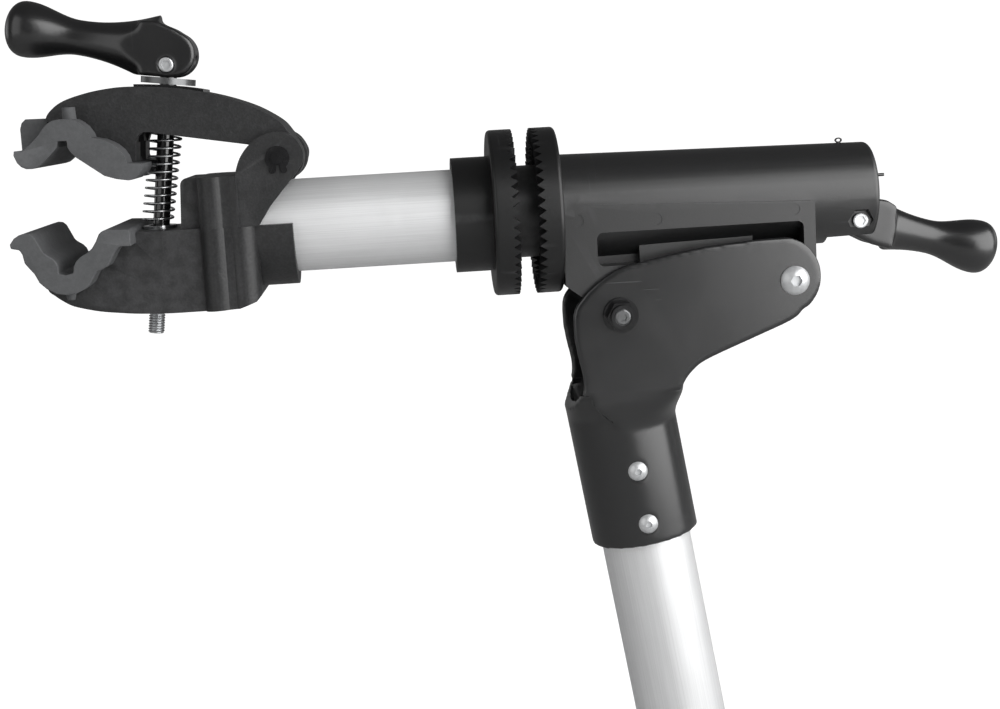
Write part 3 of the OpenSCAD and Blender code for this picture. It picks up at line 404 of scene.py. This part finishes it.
def rubber_finish(name, base):
    """Grey rubber: matt and mottled, with its edges lighter from a bloom of wear and a painted highlight.
    """
    made, w, shader, where = start_material(name)
    grained = effect(w, "grain", Vector=where, Grain_Scale=620.0, Pit_Scale=210.0)
    patches = effect(w, "patches", Vector=where, Scale=48.0, Warp=1.2)
    edges = effect(w, "edges", Vector=where, From=0.52, To=0.60)
    body = w.blend(patches["Broad"], rgba(base, 0.72), rgba(base, 1.22))
    body = w.blend(w.math("MULTIPLY", grained["Shade"], 0.25), body, rgba(base, 1.6))
    # Edges lightened: a bloom of wear and a painted highlight.
    body = w.blend(w.math("MULTIPLY", edges["Mask"], 0.30), body, rgba(base, 2.1))
    w.put(shader.inputs["Base Color"], body)
    w.put(shader.inputs["Roughness"], w.between(patches["Broad"], 0.3, 0.7, 0.62, 0.80))
    shader.inputs["Specular IOR Level"].default_value = 0.35
    bumps = w.node("Bump", {"Strength": 0.35, "Distance": 0.00015, "Height": grained["Height"]})
    w.put(shader.inputs["Normal"], bumps.outputs["Normal"])
    return made


def finish_for(slot):
    """The material of one of the record's slots, made once."""
    colours = bpy.context.scene.stand_colours
    name = "look_" + slot
    if name in bpy.data.materials:
        return bpy.data.materials[name]
    if slot == "casting":
        return black_finish(name, colours.casting, 0.46, 900.0, 0.80, 0.10, (0.54, 0.66), patch=0.18,
                            gloss=0.6, grainy=0.40)
    if slot == "housing":
        return black_finish(name, colours.moulding, 0.40, 1300.0, 0.22, 0.08, (0.54, 0.66), patch=0.12,
                            gloss=1.0)
    if slot == "ring":
        return black_finish(name, rgba(colours.moulding, 0.6), 0.38, 1300.0, 0.22, 0.10,
                            (0.54, 0.66), gloss=0.6)
    if slot == "lever":
        return black_finish(name, colours.lever, 0.30, 1300.0, 0.08, 0.12, patch=0.05, gloss=1.0)
    if slot == "yoke_paint":
        return black_finish(name, colours.paint, 0.24, 420.0, 0.12, 0.25, (0.53, 0.60), patch=0.12,
                            scratch=0.3, gloss=1.0)
    if slot == "black_steel":
        return black_finish(name, colours.black_steel, 0.16, 1400.0, 0.10, 0.03, gloss=1.0, grainy=0.05)
    if slot == "pad_rubber":
        return rubber_finish(name, colours.rubber)
    if slot == "tube":
        return metal_finish(name, colours.tube, 0.42, stain=0.05, metal=0.55)
    if slot == "mast":
        return metal_finish(name, colours.tube, 0.36, (0, MAST_LEAN, 0), (2600.0, 2600.0, 14.0), stain=0.05,
                            metal=0.55)
    if slot == "chrome":
        return metal_finish(name, colours.bright, 0.12, (0, 0, 0), (500.0, 90.0, 500.0), 0.05)
    if slot == "satin":
        return metal_finish(name, colours.bright, 0.30, (0, 0, 0), (500.0, 90.0, 500.0), 0.05, metal=0.6)
    # A darker copy of the bright steel for the washers and the stop bolt: painted shade in place of the
    # dark reflections on them.
    if slot == "dull":
        return metal_finish(name, rgba(colours.bright, 0.30), 0.30, (0, 0, 0), (500.0, 90.0, 500.0), 0.05)
    if slot == "zinc":
        return metal_finish(name, colours.bright, 0.28, (0, 0, 0), (700.0, 700.0, 700.0), 0.10, 0.25)
    if slot == "spring_steel":
        return metal_finish(name, colours.bright, 0.22, (0, 0, 0), (400.0, 400.0, 400.0), 0.05)
    if slot == "bush":
        return metal_finish(name, (0.42, 0.36, 0.24), 0.35, (0, 0, 0), (600.0, 90.0, 600.0), 0.10)
    raise ValueError("no finish for slot " + slot)


# ---------------------------------------------------------------- meshes

SLOT_OF = {row["node"]: row["material_slot"] for row in frame["record"]["subparts"]}
# Nodes whose finish differs from that of their slot
LOOKS = {"mast_tube": "mast", "sleeve_screws": "satin", "pivot_bolt": "satin", "clamp_cam_pin": "satin",
         "rear_cam_pin": "satin", "stop_bolt": "dull", "cam_washers": "dull"}


def shade(mesh, angle=38.0):
    """Smooth shading that breaks at sharp edges."""
    mesh.polygons.foreach_set("use_smooth", [True] * len(mesh.polygons))
    mesh.set_sharp_from_angle(angle=math.radians(angle))
    mesh.update()


def add_piece(name, mesh, slot, body, nodes=(), look=None):
    """Links a finished mesh as a piece that rides on a body and stands for CAD nodes."""
    piece = bpy.data.objects.new(name, mesh)
    bpy.context.scene.collection.objects.link(piece)
    mesh.materials.clear()
    mesh.materials.append(finish_for(look or slot))
    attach(piece, body)
    if nodes:
        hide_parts(*nodes)
    return piece


def body_of(node):
    """The CAD body that a node rides on."""
    return frame["nodes"][node]["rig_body"]


def baked(piece):
    """The mesh of a loose object with its modifiers applied; the object is removed."""
    graph = bpy.context.evaluated_depsgraph_get()
    mesh = bpy.data.meshes.new_from_object(piece.evaluated_get(graph))
    old = piece.data
    bpy.data.objects.remove(piece)
    bpy.data.meshes.remove(old)
    return mesh


def welded(node):
    """A welded copy of a CAD node's mesh, with its flat faces joined."""
    shape = bmesh.new()
    shape.from_mesh(frame["nodes"][node].data)
    bmesh.ops.remove_doubles(shape, verts=shape.verts, dist=2e-6)
    bmesh.ops.dissolve_limit(shape, angle_limit=math.radians(0.6), verts=shape.verts, edges=shape.edges)
    return shape


def softened(name, node, edge, segments=2, sharp=32.0):
    """A copy of a CAD node with its sharp edges rounded."""
    shape = welded(node)
    mesh = bpy.data.meshes.new(name)
    shape.to_mesh(mesh)
    shape.free()
    loose = bpy.data.objects.new(name + "_draft", mesh)
    bpy.context.scene.collection.objects.link(loose)
    rounding = loose.modifiers.new("round", "BEVEL")
    rounding.width = edge
    rounding.segments = segments
    rounding.limit_method = "ANGLE"
    rounding.angle_limit = math.radians(sharp)
    rounding.use_clamp_overlap = True
    rounding.miter_outer = "MITER_ARC"
    rounding.harden_normals = False
    weighted = loose.modifiers.new("normals", "WEIGHTED_NORMAL")
    weighted.keep_sharp = True
    weighted.weight = 80
    shade(mesh)
    made = baked(loose)
    made.name = name
    return made


def melted(name, node, voxel, rounds, extra=None):
    """A copy of a CAD node, and of one more closed mesh, whose forms run smoothly into each other."""
    shape = welded(node)
    if extra:
        shape.from_mesh(extra)
    mesh = bpy.data.meshes.new(name)
    shape.to_mesh(mesh)
    shape.free()
    loose = bpy.data.objects.new(name + "_draft", mesh)
    bpy.context.scene.collection.objects.link(loose)
    grid = loose.modifiers.new("grid", "REMESH")
    grid.mode = "VOXEL"
    grid.voxel_size = voxel
    grid.use_smooth_shade = True
    even = loose.modifiers.new("even", "SMOOTH")
    even.factor = 0.5
    even.iterations = rounds
    made = baked(loose)
    made.name = name
    made.polygons.foreach_set("use_smooth", [True] * len(made.polygons))
    return made


def flare_wall():
    """Wall that widens from the round sleeve to the two plates, open at the front as the yoke is."""
    rows, columns = FLARE_ROWS, FLARE_COLUMNS
    round_r, half_depth = SLEEVE_RADIUS - FLARE_SUNK, YOKE_HALF_DEPTH - FLARE_SUNK
    outer, inner = [], []
    for i in range(rows + 1):
        share = i / rows
        eased = min(1.0, share * FLARE_EASE)
        blend = eased * eased * (3 - 2 * eased)
        for k in range(columns + 1):
            angle = math.radians(FLARE_SIDE * (2 * k / columns - 1))
            c, s = math.cos(angle), math.sin(angle)
            wide = SLEEVE_RADIUS + (FLARE_REACH if c > 0 else 0)
            x = math.copysign(abs(c) ** (2 / FLARE_BOX), c) * wide
            y = math.copysign(abs(s) ** (2 / FLARE_BOX), s) * half_depth
            x = (1 - blend) * c * round_r + blend * x
            y = (1 - blend) * s * round_r + blend * y
            inside = 1 - FLARE_WALL / math.hypot(x, y)
            height = FLARE_FROM + (FLARE_TO - FLARE_FROM) * share
            outer.append((x * MM, y * MM, height * MM))
            inner.append((x * inside * MM, y * inside * MM, height * MM))
    span, total = columns + 1, len(outer)
    faces = []
    for i in range(rows):
        for k in range(columns):
            a = i * span + k
            faces.append((a, a + 1, a + span + 1, a + span))
            faces.append((total + a, total + a + span, total + a + span + 1, total + a + 1))
        for a in (i * span, i * span + columns):
            faces.append((a, a + span, total + a + span, total + a))
    for k in range(columns):
        for a in (k, rows * span + k):
            faces.append((a, a + 1, total + a + 1, total + a))
    return mesh_from("flare_wall", outer + inner, faces, MAST_SEAT)


def mesh_from(name, points, faces, seat=None):
    """A mesh from points and faces, moved to its seat."""
    mesh = bpy.data.meshes.new(name)
    mesh.from_pydata([tuple(p) for p in points], [], faces)
    shape = bmesh.new()
    shape.from_mesh(mesh)
    bmesh.ops.remove_doubles(shape, verts=shape.verts, dist=1e-7)
    bmesh.ops.recalc_face_normals(shape, faces=shape.faces)
    shape.to_mesh(mesh)
    shape.free()
    if seat is not None:
        mesh.transform(seat)
    return mesh


def turned_profile(profile, sides=48):
    """Points and faces of a closed turned form from (radius, height) corners, in metres."""
    points, faces = [], []
    for r, z in profile:
        points += [(r * math.cos(2 * math.pi * k / sides), r * math.sin(2 * math.pi * k / sides), z)
                   for k in range(sides)]
    for i in range(len(profile) - 1):
        for k in range(sides):
            a, b = i * sides + k, i * sides + (k + 1) % sides
            faces.append((a, b, b + sides, a + sides))
    return points, faces


def threaded(radius, start, end, pitch, depth, sides=28, steps=6):
    """Points and faces of a thread's skin, with its crests on a true helix and chamfered ends."""
    rows = int((end - start) / pitch * steps) + 2 * steps
    points, faces = [], []
    for i in range(rows):
        for k in range(sides):
            turn = k / sides
            height = start - pitch + (i / steps + turn) * pitch
            phase = (i % steps) / steps
            dip = depth * (1 - min(1.0, max(0.0, abs(phase * 2 - 1) * 1.5 - 0.2)))
            r = radius - dip
            height = min(max(height, start), end)
            r = min(r, radius - depth + min(height - start, end - height) * 0.9)
            points.append((r * math.cos(2 * math.pi * turn), r * math.sin(2 * math.pi * turn), height))
    for i in range(rows - 1):
        for k in range(sides):
            a = i * sides + k
            if k < sides - 1:
                faces.append((a, a + 1, a + 1 + sides, a + sides))
            elif i + 1 + steps < rows:
                b = (i + steps) * sides
                faces.append((a, b, b + sides, a + sides))
    return points, faces


# ---------------------------------------------------------------- operators

class STAND_OT_castings(Operator):
    """Rounds and grains the castings of the jaws and the column"""
    bl_idname = "stand.castings"
    bl_label = "Castings"

    def execute(self, context):
        edge = context.scene.stand_sizes.casting_edge
        for node in ("lower_jaw", "upper_bracket", "upper_jaw"):
            mesh = softened(node + "_casting", node, edge, 3)
            add_piece(node + "_casting", mesh, SLOT_OF[node], body_of(node), [node])
        return {"FINISHED"}


class STAND_OT_mouldings(Operator):
    """Rounds and grains the housing and the two toothed rings"""
    bl_idname = "stand.mouldings"
    bl_label = "Housing and clutch"

    def execute(self, context):
        sizes = context.scene.stand_sizes
        mesh = softened("housing_moulding", "head_housing", sizes.moulding_edge, 2)
        add_piece("housing_moulding", mesh, SLOT_OF["head_housing"], body_of("head_housing"),
                  ["head_housing"])
        for node in ("rear_ring", "clutch_hub"):
            mesh = softened(node + "_moulding", node, sizes.tooth_edge, 1)
            add_piece(node + "_moulding", mesh, SLOT_OF[node], body_of(node), [node])
        return {"FINISHED"}


class STAND_OT_yoke(Operator):
    """Melts the yoke's sleeve, flare and plates into one pressed form and paints it"""
    bl_idname = "stand.yoke"
    bl_label = "Yoke"

    def execute(self, context):
        sizes = context.scene.stand_sizes
        wall = flare_wall()
        mesh = melted("yoke_painted", "yoke", sizes.plate_voxel, sizes.plate_rounds, wall)
        bpy.data.meshes.remove(wall)
        add_piece("yoke_painted", mesh, SLOT_OF["yoke"], body_of("yoke"), ["yoke"])
        return {"FINISHED"}


class STAND_OT_levers(Operator):
    """Melts each lever's knob, neck and head into one smooth form"""
    bl_idname = "stand.levers"
    bl_label = "Levers"

    def execute(self, context):
        sizes = context.scene.stand_sizes
        for node in ("clamp_lever", "rear_lever"):
            mesh = melted(node + "_moulding", node, sizes.lever_voxel, sizes.lever_rounds)
            add_piece(node + "_moulding", mesh, SLOT_OF[node], body_of(node), [node])
        return {"FINISHED"}


class STAND_OT_pads(Operator):
    """Rounds the rubber pads' edges"""
    bl_idname = "stand.pads"
    bl_label = "Rubber pads"

    def execute(self, context):
        edge = context.scene.stand_sizes.pad_edge
        for node in ("upper_pad", "lower_pad"):
            mesh = softened(node + "_rubber", node, edge, 3, 24.0)
            add_piece(node + "_rubber", mesh, SLOT_OF[node], body_of(node), [node])
        return {"FINISHED"}


class STAND_OT_clamp_screw(Operator):
    """Makes the clamp rod with its thread, and the round wire spring on it"""
    bl_idname = "stand.clamp_screw"
    bl_label = "Clamp rod and spring"

    def execute(self, context):
        sizes = context.scene.stand_sizes
        points, faces = threaded(ROD_RADIUS * MM, ROD_FOOT * MM, THREAD_TOP * MM, sizes.thread_pitch,
                                 sizes.thread_depth)
        mesh = mesh_from("clamp_rod_thread", points, faces, ROD_SEAT)
        shade(mesh, 50.0)
        add_piece("clamp_rod_thread", mesh, "zinc", body_of("clamp_rod"), ["clamp_rod"])
        shank = [(AXIS_RADIUS, SHANK_FOOT), (ROD_RADIUS - SHANK_BEVEL, SHANK_FOOT),
                 (ROD_RADIUS, SHANK_FOOT + SHANK_BEVEL), (ROD_RADIUS, ROD_TOP), (AXIS_RADIUS, ROD_TOP)]
        points, faces = turned_profile([(r * MM, z * MM) for r, z in shank], 40)
        mesh = mesh_from("clamp_rod_shank", points, faces, ROD_SEAT)
        shade(mesh)
        add_piece("clamp_rod_shank", mesh, "black_steel", body_of("clamp_rod"))
        self.make_spring(sizes.spring_wire / 2)
        return {"FINISHED"}

    def make_spring(self, wire):
        """One wire wound round the rod, in the CAD spring's place."""
        mean, low, high = SPRING_MEAN * MM, SPRING_FOOT * MM, SPRING_TOP * MM
        turns, sides, steps = SPRING_TURNS, SPRING_SIDES, SPRING_STEPS
        rise = high - low - 4 * wire
        points, faces = [], []
        count = turns * steps
        for i in range(count + 1):
            angle = math.pi / 2 + 2 * math.pi * i / steps
            out = Vector((math.cos(angle), math.sin(angle), 0))
            aside = (SPRING_ASIDE + SPRING_DRIFT * i / count) * MM
            centre = out * mean + Vector((aside, 0, low + 2 * wire + rise * i / count))
            along = Vector((-out.y * mean, out.x * mean, rise / (2 * math.pi * turns))).normalized()
            side = along.cross(out)
            points += [centre + wire * (math.cos(a) * out + math.sin(a) * side)
                       for a in (2 * math.pi * k / sides for k in range(sides))]
            if i:
                for k in range(sides):
                    a, b = (i - 1) * sides + k, (i - 1) * sides + (k + 1) % sides
                    faces.append((a, b, b + sides, a + sides))
        faces += [tuple(range(sides))[::-1], tuple(range(count * sides, (count + 1) * sides))]
        mesh = mesh_from("clamp_spring_wire", points, faces, ROD_SEAT)
        shade(mesh, 60.0)
        spring = add_piece("clamp_spring_wire", mesh, "spring_steel", "nut", ["clamp_spring"])
        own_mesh(spring)


class STAND_OT_hardware(Operator):
    """Gives tubes, bolts, pins, washers and inner pieces their metals, and the pins their sockets"""
    bl_idname = "stand.hardware"
    bl_label = "Tubes and hardware"

    def bent_clip(self):
        """The housing's wire clip, with its loop pressed down as in the photograph."""
        mesh = frame["nodes"]["wire_clip"].data.copy()
        mesh.name = "wire_clip_bent"
        top = place(0, BARREL_TOP).z
        proud = [v for v in mesh.vertices if v.co.z > top]
        middle = sum(v.co.x for v in proud) / len(proud)
        for v in proud:
            v.co.z = top + (v.co.z - top) * LOOP_HEIGHT_KEPT
            v.co.x = middle + (v.co.x - middle) * LOOP_WIDTH_KEPT
        shade(mesh, 50.0)
        add_piece("wire_clip_bent", mesh, SLOT_OF["wire_clip"], body_of("wire_clip"), ["wire_clip"],
                  "black_steel")

    def socket_face(self, node, radius, key, look):
        """A chamfered face with a hexagon socket, on the near end of a cross pin."""
        corners = [Vector(v.co) for v in frame["nodes"][node].data.vertices]
        low = Vector([min(c[i] for c in corners) for i in range(3)])
        high = Vector([max(c[i] for c in corners) for i in range(3)])
        rings = ((AXIS_RADIUS * 10, SOCKET_FLOOR, False), (key / 2, SOCKET_FLOOR, True),
                 (key / 2, PIN_FACE, True), (radius * PIN_FLAT, PIN_FACE, False),
                 (radius, PIN_EDGE, False), (radius, PIN_SUNK, False), (AXIS_RADIUS * 10, PIN_SUNK, False))
        points, faces, sides = [], [], 48
        for r, h, flat in rings:
            for k in range(sides):
                angle = 2 * math.pi * k / sides
                wide = r / math.cos((angle % (math.pi / 3)) - math.pi / 6) if flat else r
                points.append((wide * math.cos(angle) * MM, wide * math.sin(angle) * MM, h * MM))
        for i in range(len(rings) - 1):
            for k in range(sides):
                a, b = i * sides + k, i * sides + (k + 1) % sides
                faces.append((a, b, b + sides, a + sides))
        seat = Matrix.Translation(((low.x + high.x) / 2, low.y, (low.z + high.z) / 2)) @ Matrix.Rotation(
            math.pi / 2, 4, "X")
        mesh = mesh_from(node + "_socket", points, faces, seat)
        shade(mesh, 18.0)
        add_piece(node + "_socket", mesh, SLOT_OF[node], body_of(node), look=look)

    def execute(self, context):
        for node, radius, key, look in PIN_ENDS:
            self.socket_face(node, radius, key, look)
        self.bent_clip()
        for node, piece in frame["nodes"].items():
            if piece.hide_render:
                continue
            look = LOOKS.get(node, SLOT_OF[node])
            piece.data.materials.clear()
            piece.data.materials.append(finish_for(look))
            shade(piece.data, 50.0 if look in ("chrome", "satin", "black_steel") else 32.0)
        return {"FINISHED"}


class STAND_OT_stage(Operator):
    """Sets the floor, the lamps, the white surroundings and the camera"""
    bl_idname = "stand.stage"
    bl_label = "Stage"

    def execute(self, context):
        stage = context.scene.stand_stage
        context.scene.view_settings.view_transform = "Standard"
        self.make_camera(context.scene, stage)
        self.make_world(context.scene, stage)
        self.make_floor(stage)
        middle = place(*LAMP_AIM)
        for name, power, spot, wide, high in LAMPS:
            lamp = bpy.data.lights.new(name, "AREA")
            lamp.shape = "RECTANGLE"
            lamp.size, lamp.size_y = wide, high
            lamp.energy = getattr(stage, power)
            holder = bpy.data.objects.new(name, lamp)
            context.scene.collection.objects.link(holder)
            holder.location = middle + Vector(spot)
            holder.rotation_euler = (-Vector(spot)).to_track_quat("-Z", "Y").to_euler()
        return {"FINISHED"}

    def make_camera(self, scene, stage):
        """The camera where the photograph was taken from, with its yaw, pitch and roll."""
        yaw, pitch, roll = (math.radians(a) for a in stage.turn)
        ahead = Vector((math.sin(yaw) * math.cos(pitch), math.cos(yaw) * math.cos(pitch), -math.sin(pitch)))
        level = Vector((math.cos(yaw), -math.sin(yaw), 0))
        down = ahead.cross(level)
        right = math.cos(roll) * level + math.sin(roll) * down
        low = math.cos(roll) * down - math.sin(roll) * level
        data = bpy.data.cameras.new("camera")
        data.lens = stage.lens
        data.sensor_width = 36.0
        data.clip_start = 0.01
        data.clip_end = 50.0
        camera = bpy.data.objects.new("camera", data)
        scene.collection.objects.link(camera)
        axes = Matrix((right, -low, -ahead)).transposed().to_4x4()
        camera.matrix_world = Matrix.Translation(Vector(stage.camera)) @ axes
        scene.camera = camera

    def make_world(self, scene, stage):
        """White to the camera; a white cove behind the stand in a dark room for reflections."""
        world = bpy.data.worlds.new("studio")
        scene.world = world
        world.use_nodes = True
        tree = world.node_tree
        tree.nodes.clear()
        w = Wiring(tree)
        path = w.node("LightPath").outputs
        way = w.node("SeparateXYZ", {0: w.node("TexCoord").outputs["Generated"]}).outputs
        level = w.between(w.math("ABSOLUTE", way[2]), 0.12, 0.45, 1.0, 0.0)
        behind = w.between(way[1], 0.05, 0.55)
        room = w.math("MAXIMUM", w.math("MULTIPLY", level, behind), ROOM_DARK)
        seen = w.math("MAXIMUM", path["Is Glossy Ray"], path["Is Transmission Ray"])
        soft = w.node("Background", {"Color": (1, 1, 1, 1), "Strength": stage.sky}).outputs[0]
        cove = w.node("Background", {"Color": (1, 1, 1, 1), "Strength": room}).outputs[0]
        white = w.node("Background", {"Color": (1, 1, 1, 1), "Strength": 1.0}).outputs[0]
        light = w.node("MixShader", {0: seen, 1: soft, 2: cove}).outputs[0]
        whole = w.node("MixShader", {0: path["Is Camera Ray"], 1: light, 2: white}).outputs[0]
        tree.links.new(whole, w.node("OutputWorld").inputs["Surface"])

    def make_floor(self, stage):
        """A pale floor that curves up behind the stand, white to the camera except for shadow."""
        level = CAD_BOX[0].z - FLOOR_GAP
        line = [(-FLOOR_HALF, 0.0), (FLOOR_BEND, 0.0)]
        line += [(FLOOR_BEND + FLOOR_RISE * math.sin(t), FLOOR_RISE * (1 - math.cos(t)))
                 for t in (math.pi / 2 * k / FLOOR_STEPS for k in range(1, FLOOR_STEPS + 1))]
        points = [(x, y, level + z) for y, z in line for x in (-FLOOR_HALF, FLOOR_HALF)]
        faces = [(2 * i, 2 * i + 1, 2 * i + 3, 2 * i + 2) for i in range(len(line) - 1)]
        mesh = bpy.data.meshes.new("floor")
        mesh.from_pydata(points, [], faces)
        mesh.polygons.foreach_set("use_smooth", [True] * len(mesh.polygons))
        floor = bpy.data.objects.new("floor", mesh)
        bpy.context.scene.collection.objects.link(floor)
        made, w, shader, where = start_material("floor_paper")
        patches = effect(w, "patches", Vector=where, Scale=3.0)
        w.put(shader.inputs["Base Color"], w.blend(patches["Broad"], rgba(stage.floor, 0.98),
                                                   rgba(stage.floor, 1.02)))
        shader.inputs["Roughness"].default_value = 0.9
        path = w.node("LightPath").outputs
        shader.inputs["Emission Color"].default_value = (1, 1, 1, 1)
        w.put(shader.inputs["Emission Strength"], w.math("MULTIPLY", path["Is Camera Ray"], FLOOR_WHITE))
        mesh.materials.append(made)


# ---------------------------------------------------------------- panel and registration

class STAND_PT_looks(Panel):
    """Lists the steps that dress the stand"""
    bl_label = "Repair stand"
    bl_idname = "STAND_PT_looks"
    bl_space_type = "VIEW_3D"
    bl_region_type = "UI"
    bl_category = "Repair stand"

    def draw(self, context):
        for step in STEPS:
            self.layout.operator(step.bl_idname)
        for group in (context.scene.stand_colours, context.scene.stand_sizes, context.scene.stand_stage):
            box = self.layout.box()
            for name in group.__annotations__:
                box.prop(group, name)


STEPS = (STAND_OT_stage, STAND_OT_castings, STAND_OT_mouldings, STAND_OT_yoke, STAND_OT_levers,
         STAND_OT_pads, STAND_OT_clamp_screw, STAND_OT_hardware)
CLASSES = (StandColours, StandSizes, StandStage) + STEPS + (STAND_PT_looks,)


def register():
    for cls in CLASSES:
        bpy.utils.register_class(cls)
    bpy.types.Scene.stand_colours = PointerProperty(type=StandColours)
    bpy.types.Scene.stand_sizes = PointerProperty(type=StandSizes)
    bpy.types.Scene.stand_stage = PointerProperty(type=StandStage)


def unregister():
    del bpy.types.Scene.stand_stage
    del bpy.types.Scene.stand_sizes
    del bpy.types.Scene.stand_colours
    for cls in reversed(CLASSES):
        bpy.utils.unregister_class(cls)


def main():
    """Dresses the whole stand."""
    register()
    bpy.ops.stand.stage()
    bpy.ops.stand.castings()
    bpy.ops.stand.mouldings()
    bpy.ops.stand.yoke()
    bpy.ops.stand.levers()
    bpy.ops.stand.pads()
    bpy.ops.stand.clamp_screw()
    bpy.ops.stand.hardware()


if __name__ == "__main__":
    main()
